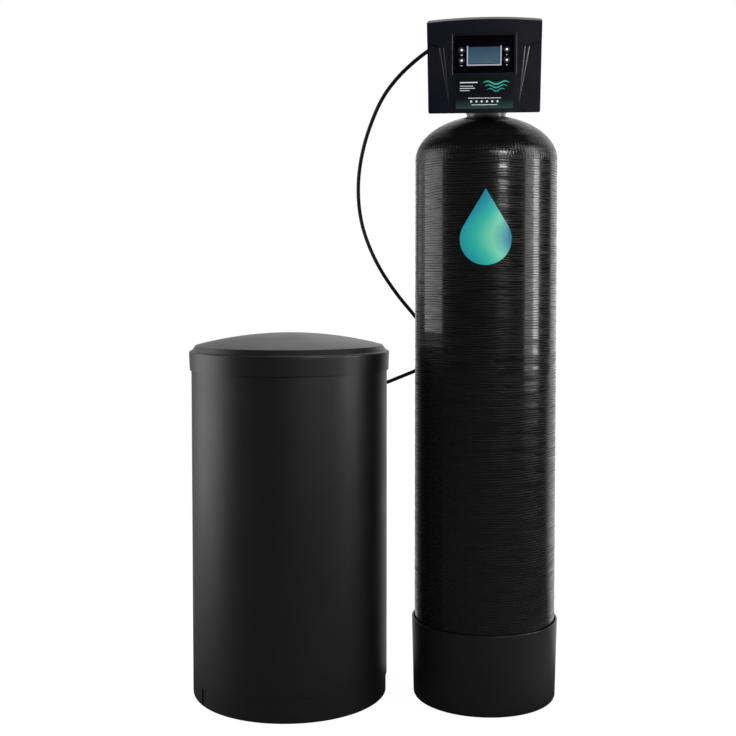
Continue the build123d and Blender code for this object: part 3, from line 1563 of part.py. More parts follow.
def brine_well_cap():
    """Push-on cap of the brine well."""
    inner = well_radius + slip_gap
    low_z = well_top_z - well_cap_skirt
    body = upright(inner + well_cap_wall, low_z, well_top_z + well_cap_wall)
    body -= upright(inner, low_z - overrun, well_top_z)
    body = fillet(body.edges().group_by(Axis.Z)[-1], well_cap_wall / 2)
    return Pos(well_x, well_y, 0) * body


def well_bolts():
    """Bolts through the walls of the well and the tank, with their nuts outside."""
    solids = []
    inner_x = well_flat_x(well_bolt_head_radius)
    outer_x = brine_radius
    for z in (well_bolt_low_z, well_bolt_high_z):
        bolt = along_x(well_bolt_radius, inner_x - well_bolt_head_height,
                       outer_x + 2 * well_bolt_head_height)
        head = along_x(well_bolt_head_radius, inner_x - well_bolt_head_height, inner_x)
        flat = Plane((outer_x + seat_gap, 0, 0), x_dir=(0, 1, 0), z_dir=(1, 0, 0))
        nut = extrude(flat * RegularPolygon(well_bolt_head_radius, 6), well_bolt_head_height)
        nut -= along_x(well_bolt_radius + running_gap, outer_x, outer_x + 3 * well_bolt_head_height)
        solids.append(radial(bolt + head, well_angle, z))
        solids.append(radial(nut, well_angle, z))
    return solids


def line_fitting():
    """Bulkhead fitting that leads the brine line through the walls of the tank and the well."""
    start_x = well_flat_x(line_fitting_flange_radius) - line_nut_thickness - overrun
    face_x = brine_radius + slip_gap
    body = along_x(line_fitting_radius, start_x, face_x)
    body += along_x(line_fitting_flange_radius, face_x, face_x + line_fitting_flange_thickness)
    body -= along_x(line_radius + seat_gap, start_x - overrun,
                    face_x + line_fitting_flange_thickness + overrun)
    return radial(body, well_angle, line_entry_z)


def line_nut():
    """Nut of the bulkhead fitting inside the well."""
    end_x = well_flat_x(line_fitting_flange_radius)
    flat = Plane((end_x - line_nut_thickness, 0, 0), x_dir=(0, 1, 0), z_dir=(1, 0, 0))
    nut = extrude(flat * RegularPolygon(line_fitting_flange_radius, 6), line_nut_thickness)
    nut -= along_x(line_fitting_radius + running_gap, end_x - line_nut_thickness - overrun, end_x + overrun)
    return radial(nut, well_angle, line_entry_z)


def line_inner_end():
    """Last stretch of the brine line, through the fitting to the float valve."""
    start_x = well_reach - valve_block_shift + valve_block_depth / 2
    end_x = brine_radius + slip_gap + line_fitting_flange_thickness
    body = along_x(line_radius, start_x, end_x)
    return radial(body - along_x(line_bore_radius, start_x - overrun, end_x + overrun),
                  well_angle, line_entry_z)


def in_well(shape):
    """Moves a shape made round the origin to the well, with +X towards the tank's wall."""
    return Pos(well_x, well_y, 0) * Rot(0, 0, well_angle) * shape


def float_valve_body():
    """Block at the top of the well with the pickup's socket and the guide arm for the float rod."""
    half = valve_block_depth / 2
    x = -valve_block_shift
    body = block((x - half, -valve_block_width / 2, valve_block_low_z),
                 (x + half, valve_block_width / 2, valve_block_high_z))
    body = fillet(body.edges().filter_by(Axis.Z), valve_block_round)
    body += block((x, valve_block_width / 2 - overrun, valve_block_low_z),
                  (x + half / 2, valve_arm_reach, valve_block_low_z + valve_arm_thickness))
    body += block((well_reach - well_flat_x(half / 2), -half / 2, valve_block_high_z - valve_arm_thickness),
                  (x, half / 2, valve_block_high_z))
    body -= upright(pickup_radius + seat_gap, valve_block_low_z - overrun,
                    (valve_block_low_z + line_entry_z) / 2, x, 0)
    body -= upright(float_rod_radius + running_gap, valve_block_low_z - overrun,
                    valve_block_low_z + valve_arm_thickness + overrun, x + half / 4, float_rod_offset)
    return in_well(body)


def pickup_tube():
    """Rigid tube down to the air check."""
    low_z = check_low_z + check_height
    high_z = (valve_block_low_z + line_entry_z) / 2 - seat_gap
    return in_well(ring(pickup_radius, pickup_bore_radius, low_z, high_z, -valve_block_shift, 0))


def air_check():
    """Slotted cage at the foot of the pickup tube."""
    x = -valve_block_shift
    top_z = check_low_z + check_height
    inner = check_radius - screen_wall
    body = upright(check_radius, check_low_z, top_z, x, 0)
    body -= upright(inner, check_low_z + screen_wall, top_z - 2 * screen_wall, x, 0)
    body -= upright(pickup_bore_radius, top_z - 3 * screen_wall, top_z + overrun, x, 0)
    for turn in range(check_slots // 2):
        slot = block((-check_radius - overrun, -check_slot_width / 2, check_low_z + 2 * screen_wall),
                     (check_radius + overrun, check_slot_width / 2, top_z - 4 * screen_wall))
        body -= Pos(x, 0, 0) * Rot(0, 0, 360 / check_slots * turn) * slot
    return in_well(body)


def check_ball():
    """Loose ball that closes the pickup when the brine is gone."""
    z = check_low_z + screen_wall + check_ball_radius + seat_gap
    return in_well(Pos(-valve_block_shift, 0, z) * Sphere(check_ball_radius))


def float_axis():
    """Place of the float rod in the well's own directions."""
    return -valve_block_shift + valve_block_depth / 8, float_rod_offset


def float_rod():
    """Rod that the float lifts, with a head that rests on the guide arm."""
    arm_top_z = valve_block_low_z + valve_arm_thickness
    x, y = float_axis()
    body = upright(float_rod_radius, float_rod_low_z, arm_top_z + float_rod_rise, x, y)
    head = upright(float_head_radius, arm_top_z + seat_gap, arm_top_z + seat_gap + float_head_thickness, x, y)
    return in_well(body + head)


def brine_float():
    """Float on the rod."""
    x, y = float_axis()
    body = upright(float_radius, float_low_z, float_low_z + float_height, x, y)
    body = fillet(body.edges().filter_by(GeomType.CIRCLE), float_edge_round)
    body -= upright(float_rod_radius + running_gap, float_low_z - overrun,
                    float_low_z + float_height + overrun, x, y)
    return in_well(body)


def float_grommets():
    """Rubber rings that hold the float on the rod."""
    x, y = float_axis()
    lows = (float_low_z - grommet_height - seat_gap, float_low_z + float_height + seat_gap)
    return [in_well(ring(grommet_radius, float_rod_radius + running_gap, low, low + grommet_height, x, y))
            for low in lows]


def overflow_fitting():
    """Overflow spout through the tank's back wall, with its smooth stub for a drain hose."""
    inner_y = brine_radius - brine_wall - overflow_nut_thickness - overrun
    face_y = brine_radius + overflow_gasket_thickness
    flange_end_y = face_y + overflow_flange_thickness
    stub_end_y = flange_end_y + overflow_stub_length
    body = along_y(overflow_radius, inner_y, face_y, 0, overflow_z)
    body += along_y(overflow_flange_radius, face_y, flange_end_y, 0, overflow_z)
    body += along_y(overflow_stub_radius, flange_end_y, stub_end_y, 0, overflow_z)
    body -= along_y(overflow_stub_bore_radius, inner_y - overrun, stub_end_y + overrun, 0, overflow_z)
    return on_brine(body)


def overflow_gasket():
    """Gasket under the overflow's flange."""
    body = ring_y(overflow_flange_radius, overflow_radius + seat_gap, brine_radius + seat_gap,
                  brine_radius + overflow_gasket_thickness, 0, overflow_z)
    return on_brine(body)


def overflow_nut():
    """Nut of the overflow inside the tank."""
    end_y = brine_radius - brine_wall - overrun
    flat = Plane((0, end_y - overflow_nut_thickness, overflow_z), x_dir=(1, 0, 0), z_dir=(0, 1, 0))
    nut = extrude(flat * RegularPolygon(overflow_flange_radius, 6), overflow_nut_thickness)
    nut -= along_y(overflow_radius + running_gap, end_y - overflow_nut_thickness - overrun,
                   end_y + overrun, 0, overflow_z)
    return on_brine(nut)


def line_route():
    """Route of the brine line, chosen by hand: out of the nut, down and round behind the tank."""
    face = brine_radius + slip_gap + line_fitting_flange_thickness
    end_x = brine_x + face * math.cos(math.radians(well_angle))
    end_y = brine_y + face * math.sin(math.radians(well_angle))
    return [
        (tube_nut_end_x, tower_y, brine_arm_z),
        (-111, tower_y, brine_arm_z),
        (-163, 39, 1530),
        (-213, 51, 1488),
        (-254, 71, 1440),
        (-285, 97, 1378),
        (-307, 124, 1318),
        (-320, 148, 1255),
        (-322, 166, 1191),
        (-313, 177, 1130),
        (-292, 179, 1071),
        (-263, 177, 1015),
        (-222, 176, 956),
        (-181, 176, 908),
        (-149, 179, 866),
        (-141, 187, 812),
        (-163, 196, 769),
        (-214, 199, 748),
        (-256, 187, 731),
        (-279, 167, line_entry_z),
        (end_x, end_y, line_entry_z),
    ]


def corner_radii(points):
    """Radius of each corner's arc: a share of the shorter run over the tangent of half the turn."""
    radii = []
    for before, here, after in zip(points, points[1:], points[2:]):
        a, b = Vector(*here) - Vector(*before), Vector(*after) - Vector(*here)
        half_turn = math.radians(a.get_angle(b)) / 2
        radii.append(line_arc_share * min(a.length, b.length) / math.tan(half_turn))
    return radii


def brine_line():
    """Free tube of the brine line, from the elbow's nut to the tank's fitting."""
    points = line_route()
    radii = corner_radii(points)
    path = FilletPolyline(*points, radius=radii)
    start = Plane(origin=path @ 0, z_dir=path % 0)
    tube = sweep(start * (Circle(line_radius) - Circle(line_bore_radius)), path=path)
    section = math.pi * (line_radius ** 2 - line_bore_radius ** 2)
    print("brine line radii", [round(r) for r in radii])
    print("brine line length", round(path.length, 1), "volume ratio",
          round(tube.volume / (section * path.length), 4))
    return tube


def every_node():
    """All the pieces by node name. A list is a group of separate solids in one node."""
    nodes = {
        "tank_winding": tank_winding(),
        "tank_liner": tank_liner(),
        "tank_neck": tank_neck(),
        "tank_boot": tank_boot(),
        "tank_badge": tank_badge(),
        "resin_bed": resin_bed(),
        "gravel_bed": gravel_bed(),
        "riser_tube": riser_tube(),
        "distributors": [lower_distributor(), upper_distributor()],
        "valve_body": valve_body(),
        "valve_seals": [tank_seal(), rod_seal(), *piston_seals()],
        "piston_spacers": piston_spacers(),
        "piston": piston(),
        "piston_rod": piston_rod(),
        "drive_cap": drive_cap(),
        "drive_gear": drive_gear(),
        "idler_gear": idler_gear(),
        "idler_post": idler_post(),
        "motor_pinion": [motor_pinion(), motor_shaft()],
        "drive_motor": drive_motor(),
        "front_cover": front_cover(),
        "back_plate": back_plate(),
        "head_screws": [*cap_screws(), *cover_screws(), *motor_screws(), *board_screws()],
        "power_jack": power_jack(),
        "display_panel": display_panel(),
        "display_lens": display_lens(),
        "display_trim": display_trim(),
        "display_module": display_module(),
        "circuit_board": [circuit_board(), *key_switches()],
        "front_label": front_label(),
        "injector": [injector_nozzle(), injector_throat(), injector_screen(), injector_cap()],
        "brine_elbow": [brine_elbow(), tube_nut()],
        "drain_elbow": drain_elbow(),
        "flow_controls": [refill_control(), drain_control()],
        "port_clips": port_clips(),
        "meter_turbine": meter_turbine(),
        "meter_cage": meter_cage(),
        "meter_sensor": meter_sensor(),
        "bypass_body": bypass_body(),
        "bypass_caps": bypass_caps(),
        "union_nuts": union_nuts(),
        "union_gaskets": union_gaskets(),
        "pipe_adapters": [pipe_adapter(-1), pipe_adapter(1)],
        "brine_tank": brine_tank(),
        "brine_lid": brine_lid(),
        "salt_grid": [salt_grid(), *grid_legs()],
        "brine_well": brine_well(),
        "brine_well_cap": brine_well_cap(),
        "well_fittings": [*well_bolts(), line_fitting(), line_nut()],
        "float_valve": [float_valve_body(), pickup_tube(), air_check(), line_inner_end()],
        "check_ball": check_ball(),
        "brine_float": [brine_float(), float_rod(), *float_grommets()],
        "overflow_fitting": [overflow_fitting(), overflow_gasket(), overflow_nut()],
        "brine_line": brine_line(),
    }
    for name, (x, z) in key_places().items():
        nodes[name] = key(x, z)
    for name, side in (("left", -1), ("right", 1)):
        nodes["bypass_rotor_" + name] = [bypass_rotor(side), bypass_knob(side)]
    return nodes


def write_parts():
    """Writes each node to its own file."""
    os.makedirs("parts", exist_ok=True)
    for name, shape in every_node().items():
        solids = []
        for item in shape if isinstance(shape, list) else [shape]:
            solids.extend(item.solids())
        export_step(Compound(children=solids) if len(solids) > 1 else solids[0],
                    "parts/" + name + ".step")


write_parts()
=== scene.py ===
# %% [markdown]
# # A twin-tank water softener
# The photograph shows two black tanks in front of a white sweep. The tall one is wound from glass
# fibre and stands in a plastic boot. The short one holds brine and has a lift-off lid. A thin black
# tube joins them. The measured solids are loaded first, because they fix every place and size, and
# the cells below give them their camera, light, finishes and fine surface pieces.

# %% Load the solids
import math

import bmesh
import bpy
import numpy as np
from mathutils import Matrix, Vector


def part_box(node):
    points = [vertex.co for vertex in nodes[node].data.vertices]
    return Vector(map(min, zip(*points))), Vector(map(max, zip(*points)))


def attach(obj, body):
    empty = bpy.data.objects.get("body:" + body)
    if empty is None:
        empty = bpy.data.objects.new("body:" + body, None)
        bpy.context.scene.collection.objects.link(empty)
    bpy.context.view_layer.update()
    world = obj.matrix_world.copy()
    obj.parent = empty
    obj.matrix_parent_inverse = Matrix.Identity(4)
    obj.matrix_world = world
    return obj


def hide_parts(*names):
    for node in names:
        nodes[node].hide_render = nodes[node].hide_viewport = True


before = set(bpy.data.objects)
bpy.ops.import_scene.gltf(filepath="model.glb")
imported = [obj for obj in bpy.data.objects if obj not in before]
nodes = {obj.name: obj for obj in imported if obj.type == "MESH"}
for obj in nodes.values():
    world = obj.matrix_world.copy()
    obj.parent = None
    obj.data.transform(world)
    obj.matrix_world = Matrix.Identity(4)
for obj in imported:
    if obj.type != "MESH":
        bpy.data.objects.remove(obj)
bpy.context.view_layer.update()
millimetre = 0.001

# %% [markdown]
# ## Camera
# The photographer stood almost 3 m away with a short telephoto lens at chest height, a little to
# the right of the pair. The tall tank's top is seen from below and the short tank's lid from just
# above, so the eye must lie between them. The lens is shifted slightly, as the picture was cropped.

# %% Camera
photo_side = 736
focal_pixels = 1181.5
principal_row = 330.0
eye_place = (0.0, -2.8261, 1.001)
eye_turn_left = 0.099
eye_tilt_down = 0.044

camera_data = bpy.data.cameras.new("camera")
camera_data.sensor_width = 36.0
camera_data.lens = focal_pixels / photo_side * camera_data.sensor_width
camera_data.shift_y = (principal_row - photo_side / 2) / photo_side
camera = bpy.data.objects.new("camera", camera_data)
camera.location = eye_place
camera.rotation_euler = (math.pi / 2 - eye_tilt_down, 0.0, eye_turn_left)
bpy.context.scene.collection.objects.link(camera)
bpy.context.scene.camera = camera
bpy.context.scene.view_settings.view_transform = "Standard"
print("lens", round(camera_data.lens, 2), "mm, shift", round(camera_data.shift_y, 4))


# %% [markdown]
# ## Node helpers
# Every finish below is a small network of shader nodes. They could be wired by hand in the editor,
# but a few helpers keep them short and alike. One turns the familiar 0 to 255 colour values into
# the linear light that a shader wants, one adds a node with its inputs, and the others name the
# few kinds of node that come back in every finish.

# %% Node helpers
def light_of(red, green, blue):
    """Linear colour of an 8-bit screen colour: ((c/255 + 0.055) / 1.055) to the power 2.4."""
    value = np.array([red, green, blue], float) / 255
    linear = np.where(value <= 0.04045, value / 12.92, ((value + 0.055) / 1.055) ** 2.4)
    return (*[float(c) for c in linear], 1.0)


def fill(tree, node, inputs):
    """Links or sets each input named in the dictionary."""
    for key, value in inputs.items():
        if isinstance(value, bpy.types.NodeSocket):
            tree.links.new(value, node.inputs[key])
        else:
            node.inputs[key].default_value = value
    return node


def put(tree, kind, inputs=None, **settings):
    """Adds a node, gives it its settings, and fills its inputs."""
    made = tree.nodes.new(kind)
    for key, value in settings.items():
        setattr(made, key, value)
    return fill(tree, made, inputs or {})


def combine(tree, kind, a, b=0.0):
    """One number made from one or two others by a Math node."""
    return put(tree, "ShaderNodeMath", {0: a, 1: b}, operation=kind).outputs[0]


def mapped(tree, value, start=0.0, stop=1.0, low=0.0, high=1.0, **settings):
    """A number carried from the span start to stop over to the span low to high, and held at its ends."""
    return put(tree, "ShaderNodeMapRange", {"Value": value, "From Min": start, "From Max": stop,
                                            "To Min": low, "To Max": high}, **settings).outputs[0]


def noise(tree, place, cells, detail=2.0, roughness=0.5):
    """Soft noise from 0 to 1, with its size as cells per metre."""
    return put(tree, "ShaderNodeTexNoise", {"Vector": place, "Scale": cells, "Detail": detail,
                                            "Roughness": roughness}).outputs["Fac"]


def mixed(tree, share, first, second):
    """A number between two others: first * (1 - share) + second * share."""
    return put(tree, "ShaderNodeMix", {0: share, 2: first, 3: second}).outputs[0]


def mixed_colour(tree, share, first, second):
    """A colour between two others."""
    return put(tree, "ShaderNodeMix", {0: share, 6: first, 7: second}, data_type="RGBA").outputs[2]


def bumped(tree, height, strength, distance, **settings):
    """A normal that leans as a height map rises and falls."""
    return put(tree, "ShaderNodeBump", {"Height": height, "Strength": strength, "Distance": distance},
               **settings).outputs[0]


def object_place(tree):
    """The place on the object, in metres, that the patterns are laid out in."""
    return put(tree, "ShaderNodeTexCoord").outputs["Object"]


def axes_of(tree, place):
    """The X, Y and Z of a place, each by itself."""
    return put(tree, "ShaderNodeSeparateXYZ", {0: place}).outputs


def open_material(name):
    """A new material with its tree and its Principled shader."""
    material = bpy.data.materials.new(name)
    material.use_nodes = True
    tree = material.node_tree
    return material, tree, tree.nodes["Principled BSDF"]


def open_group(name, numbers, outputs):
    """A shader node group with a Place input, number inputs with defaults, and its outputs."""
    tree = bpy.data.node_groups.new(name, "ShaderNodeTree")
    tree.interface.new_socket("Place", in_out="INPUT", socket_type="NodeSocketVector")
    for key, value in numbers.items():
        socket = tree.interface.new_socket(key, in_out="INPUT", socket_type="NodeSocketFloat")
        socket.default_value = value
    for key in outputs:
        tree.interface.new_socket(key, in_out="OUTPUT", socket_type="NodeSocketFloat")
    return tree, tree.nodes.new("NodeGroupInput").outputs, tree.nodes.new("NodeGroupOutput")


def use_group(tree, group, inputs):
    """Places a group in a material with its own values."""
    return put(tree, "ShaderNodeGroup", inputs, node_tree=group).outputs


print("helpers ready")

# %% [markdown]
# ## World
# Black plastic is drawn by what it mirrors. The set had a white sweep behind the tanks and a dark
# room behind the photographer. So the world is white towards the back and dark towards the front
# for reflections, plain white for the camera, and even for matt surfaces. Its left part is held
# back, as by a black flag, because the tanks' left edges are dark in the photograph.

# %% World
room_dark = 0.004
sweep_white = 1.05
sweep_starts, sweep_full = 0.55, 0.7
flag_starts, flag_ends = -0.55, -0.1
left_sweep_share = 0.14
even_fill = 0.85
plain_white = (1, 1, 1, 1)

world = bpy.data.worlds.new("studio")
bpy.context.scene.world = world
world.use_nodes = True
sky = world.node_tree
sky.nodes.clear()
towards = axes_of(sky, put(sky, "ShaderNodeTexCoord").outputs["Generated"])
flagged = mapped(sky, towards["X"], flag_starts, flag_ends, left_sweep_share)
back = mapped(sky, towards["Y"], sweep_starts, sweep_full, room_dark, sweep_white,
              interpolation_type="SMOOTHSTEP")
back = combine(sky, "MULTIPLY", back, flagged)
path = put(sky, "ShaderNodeLightPath").outputs
mirror_view = combine(sky, "MAXIMUM", path["Is Glossy Ray"], path["Is Transmission Ray"])
strength = mixed(sky, mirror_view, even_fill, back)
strength = mixed(sky, path["Is Camera Ray"], strength, 1.0)
shade = put(sky, "ShaderNodeBackground", {"Color": plain_white, "Strength": strength})
put(sky, "ShaderNodeOutputWorld", {"Surface": shade.outputs[0]})
print("world: white sweep behind, dark room in front")


# %% [markdown]
# ## Soft boxes
# Tall soft boxes at both sides draw the long vertical lights on round black tanks, so each is placed
# by the line that it draws. A wide and a narrow one stand at the right, one large one at the left,
# a small one hangs over the head, and one small bright one makes the spark on the tall tank's
# shoulder. Area lights do this, because they show in mirrors as clean rectangles.

# %% Soft boxes
def soft_box(name, azimuth, rise, distance, aim, wide, tall, radiance):
    """An area light that faces a point, at an azimuth (0 is the camera's side, positive to the right) and a
    rise in degrees. Its power is radiance times area times pi, so the radiance is what a mirror shows."""
    data = bpy.data.lights.new(name, "AREA")
    data.shape = "RECTANGLE"
    data.size, data.size_y = wide, tall
    data.energy = radiance * wide * tall * math.pi
    lamp = bpy.data.objects.new(name, data)
    turn, lift = math.radians(azimuth), math.radians(rise)
    lamp.location = (aim[0] + distance * math.sin(turn) * math.cos(lift),
                     aim[1] - distance * math.cos(turn) * math.cos(lift), aim[2] + distance * math.sin(lift))
    lamp.rotation_euler = (math.pi / 2 - lift, 0.0, turn)
    bpy.context.scene.collection.objects.link(lamp)
    return lamp


soft_box("right_wide", azimuth=74.0, rise=0.0, distance=2.4, aim=(0.0, 0.0, 1.6), wide=0.9, tall=2.0, radiance=1.9)
soft_box("right_strip", azimuth=85.5, rise=0.0, distance=2.4, aim=(0.0, 0.0, 1.65), wide=0.46, tall=1.9,
         radiance=7.0)
soft_box("left_wide", azimuth=-93.0, rise=0.0, distance=2.6, aim=(-0.2, 0.0, 1.25), wide=2.1, tall=2.5,
         radiance=1.7)
soft_box("left_rear", azimuth=-125.0, rise=0.0, distance=2.6, aim=(0.0, 0.0, 1.6), wide=1.2, tall=1.3,
         radiance=0.38)
soft_box("head_box", azimuth=180.0, rise=75.0, distance=1.7, aim=(0.0, -0.1, 1.5), wide=1.3, tall=0.7,
         radiance=3.2)
soft_box("front_spot", azimuth=26.5, rise=11.5, distance=2.6, aim=(0.0, 0.0, 1.28), wide=0.5, tall=0.44,
         radiance=24.0)

# %% [markdown]
# ## Floor
# The sweep is one white sheet. Most of what the camera sees of it is its own white, and a small
# share is real light on it, so the tanks keep a faint contact shadow under them. In mirrors it is
# bright behind the tanks, where the sweep is lit, and has a small pool of light at each side.

# %% Floor
floor_reach = 9.0
paper_white = (0.86, 0.86, 0.86, 1)
own_white, own_white_share = 1.04, 0.93
mirror_dark = 0.95
left_share, right_share = 0.3, 0.8
rearward_starts, rearward_full, rearward_blur = 0.4, 0.75, 0.1
lit_from, lit_to = -1.0, 0.2
pool_left, pool_left_from, pool_left_to = 0.16, -1.3, -0.72
pool_right, pool_right_x, pool_right_core, pool_right_edge = 0.13, 0.5, 0.15, 0.35
pools_from, pools_to = -0.7, 0.0

floor_mesh = bpy.data.meshes.new("floor")
corners = floor_reach * np.array([[-1, -1], [1, -1], [1, 1], [-1, 1]])
floor_mesh.from_pydata([(x, y, 0.0) for x, y in corners], [], [(0, 1, 2, 3)])
floor = bpy.data.objects.new("floor", floor_mesh)
bpy.context.scene.collection.objects.link(floor)

sheet, tree, bsdf = open_material("paper_sheet")
fill(tree, bsdf, {"Base Color": paper_white, "Roughness": 0.95, "Specular IOR Level": 0.1})
white = put(tree, "ShaderNodeEmission", {"Color": plain_white, "Strength": own_white}).outputs[0]
ray = put(tree, "ShaderNodeLightPath").outputs
seen = combine(tree, "MAXIMUM", ray["Is Camera Ray"], ray["Is Transmission Ray"])
seen = combine(tree, "MULTIPLY", seen, own_white_share)
paper = put(tree, "ShaderNodeMixShader", {0: seen, 1: bsdf.outputs[0], 2: white}).outputs[0]
spot = axes_of(tree, object_place(tree))
beside = combine(tree, "ADD", combine(tree, "ABSOLUTE", spot["X"]), rearward_blur)
rearward = mapped(tree, combine(tree, "DIVIDE", spot["Y"], beside), rearward_starts, rearward_full)
lit = mapped(tree, spot["X"], lit_from, lit_to, left_share, right_share)
near_left = mapped(tree, spot["X"], pool_left_from, pool_left_to, pool_left, 0.0)
from_pool = combine(tree, "ABSOLUTE", combine(tree, "SUBTRACT", spot["X"], pool_right_x))
near_right = mapped(tree, from_pool, pool_right_core, pool_right_edge, pool_right, 0.0)
near = combine(tree, "MULTIPLY", mapped(tree, spot["Y"], pools_from, pools_to),
               combine(tree, "ADD", near_left, near_right))
shown = combine(tree, "MAXIMUM", combine(tree, "MULTIPLY", rearward, lit), near)
mirrored = put(tree, "ShaderNodeEmission", {"Color": plain_white, "Strength": shown}).outputs[0]
dimmed = combine(tree, "MULTIPLY", ray["Is Glossy Ray"], mirror_dark)
final = put(tree, "ShaderNodeMixShader", {0: dimmed, 1: paper, 2: mirrored}).outputs[0]
tree.links.new(final, tree.nodes["Material Output"].inputs["Surface"])
floor_mesh.materials.append(sheet)
print("floor", floor_reach * 2, "m wide")

# %% [markdown]
# ## Brine line
# The thin tube leaves the nut on the valve sideways, swings out and down in one long bow, turns
# behind the tall tank and comes back to the fitting in the short tank's wall. A stiff tube takes a
# smooth line, so a NURBS curve with listed points carries a round section.

# %% Brine line
line_radius = 4.76 * millimetre
brine_axis = (-468.0, -22.0)
fitting_reach = 238.3
fitting_z = 728.0
slant = math.cos(math.pi / 4)
line_points = [
    (-72, 35, 1564), (-111, 35, 1564), (-163, 39, 1530), (-213, 51, 1488), (-254, 71, 1440),
    (-285, 97, 1378), (-307, 124, 1318), (-320, 148, 1255), (-322, 166, 1191), (-313, 177, 1130),
    (-292, 179, 1071), (-263, 177, 1015), (-222, 176, 956), (-181, 176, 908), (-149, 179, 866),
    (-141, 187, 812), (-163, 196, 769), (-214, 199, 748), (-256, 187, 731), (-279, 167, fitting_z),
    (brine_axis[0] + fitting_reach * slant, brine_axis[1] + fitting_reach * slant, fitting_z),
]
line_data = bpy.data.curves.new("brine_tube", "CURVE")
line_data.dimensions = "3D"
spline = line_data.splines.new("NURBS")
spline.points.add(len(line_points) - 1)
for point, (x, y, z) in zip(spline.points, line_points):
    point.co = (x * millimetre, y * millimetre, z * millimetre, 1.0)
    point.radius = line_radius  # a curve's box counts this radius, so it is the tube's own
spline.order_u = 3
spline.use_endpoint_u = True
spline.resolution_u = 12
line_data.bevel_depth = 1.0
line_data.bevel_resolution = 5
line_data.use_fill_caps = True
brine_tube = bpy.data.objects.new("brine_tube", line_data)
bpy.context.scene.collection.objects.link(brine_tube)
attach(brine_tube, "softener")
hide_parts("brine_line")
print("brine line points:", len(line_points))

# %% [markdown]
# ## Mould grain
# Moulded plastic takes a fine grain from its mould and a slow waviness from its shrinking. Both are
# heights, so one group mixes a fine and a slow noise. It takes the place on the object, so the grain
# stays on a piece from every side.

# %% Mould grain
grain, given, sink = open_group("mould_grain", {"Grain per metre": 900.0, "Waves per metre": 22.0,
                                                "Wave share": 0.5}, ["Height"])
fine = noise(grain, given["Place"], given["Grain per metre"], detail=3.0, roughness=0.6)
slow = noise(grain, given["Place"], given["Waves per metre"])
fill(grain, sink, {"Height": mixed(grain, given["Wave share"], fine, slow)})
print("group", grain.name)

# %% [markdown]
# ## Polish and dust
# Hands and cloths polish a tank unevenly, and dust settles in specks. One group gives slow patches
# between two levels of gloss and a mask of specks, and each finish sets how much of both it has.

# %% Polish and dust
dust_cells = 260.0

patches, given, sink = open_group("polish_patches", {"Patches per metre": 9.0, "Dull": 0.5, "Bright": 0.35,
                                                     "Dust": 0.3}, ["Roughness", "Dust mask"])
cloud = noise(patches, given["Place"], given["Patches per metre"], detail=5.0, roughness=0.6)
fine_dust = noise(patches, given["Place"], dust_cells, detail=3.0)
specks = mapped(patches, fine_dust, 0.52, 0.75)
fill(patches, sink, {"Roughness": mapped(patches, cloud, 0.3, 0.7, given["Bright"], given["Dull"]),
                     "Dust mask": combine(patches, "MULTIPLY", specks, given["Dust"])})
print("group", patches.name)


# %% [markdown]
# ## Moulded plastic
# Nearly every piece is moulded, from the black tanks to the white pipes. One function builds the
# finish from both groups, and only its colour, gloss, grain and dust change from piece to piece.

# %% Moulded plastic
def moulded(name, colour, dull=0.5, bright=0.35, grain_size=900.0, depth=0.08, dust=0.08, specular=0.5,
            wave_share=0.3, dust_colour=(0.25, 0.24, 0.23, 1)):
    """Moulded plastic: a base colour with dusty specks, patchy gloss and a fine mould grain."""
    material, tree, bsdf = open_material(name)
    place = object_place(tree)
    polish = use_group(tree, patches, {"Place": place, "Dull": dull, "Bright": bright, "Dust": dust})
    height = use_group(tree, grain, {"Place": place, "Grain per metre": grain_size,
                                     "Wave share": wave_share})["Height"]
    fill(tree, bsdf, {"Base Color": mixed_colour(tree, polish["Dust mask"], colour, dust_colour),
                      "Roughness": polish["Roughness"], "Specular IOR Level": specular,
                      "Normal": bumped(tree, height, depth, millimetre)})
    return material


def dress(material, *names):
    """Gives a finish to carried-over solids by their names."""
    for name in names:
        for slot in nodes[name].material_slots:
            slot.material = material


print("moulded plastic ready")

# %% [markdown]
# ## New surfaces
# Some pieces are drawn again as finer surfaces than the solids' meshes. One helper turns arrays of
# points and faces into an object, closes its poles by merging doubles, and lets it ride on a body.

# %% New objects
merge_reach = 1e-7


def solid_object(name, points, faces, body, slot, material):
    """Makes an object from points and faces, merges doubles, and rides it on a body."""
    mesh = bpy.data.meshes.new(name)
    mesh.from_pydata(points.tolist(), [], faces)
    work = bmesh.new()
    work.from_mesh(mesh)
    bmesh.ops.remove_doubles(work, verts=work.verts, dist=merge_reach)
    bmesh.ops.recalc_face_normals(work, faces=work.faces)
    work.to_mesh(mesh)
    work.free()
    mesh.materials.append(material)
    made = bpy.data.objects.new(name, mesh)
    bpy.context.scene.collection.objects.link(made)
    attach(made, body)
    return made


def grid_faces(rows, columns, count, wrap):
    """Four-sided faces of a grid of points: each row joins the next, and the columns close on themselves.
    Rows and columns are the index arrays of the faces, count is the points in a row, and wrap the rows."""
    next_row, next_column = (rows + 1) % wrap, (columns + 1) % count
    return np.stack([rows * count + columns, next_row * count + columns, next_row * count + next_column,
                     rows * count + next_column], axis=-1).reshape(-1, 4)


print("new surfaces ready")

# %% [markdown]
# ## Winding ridges
# A glass fibre tank is wound wet: first slanting bands that cross over both domes, then a tight
# layer of hoops round the straight wall. The resin dries glossy over the ridges. The pattern is
# therefore two things: level ridges that follow the height, and two families of slanting ridges
# that follow height and angle together. On the domes the hoops fade and the slanting bands stay.

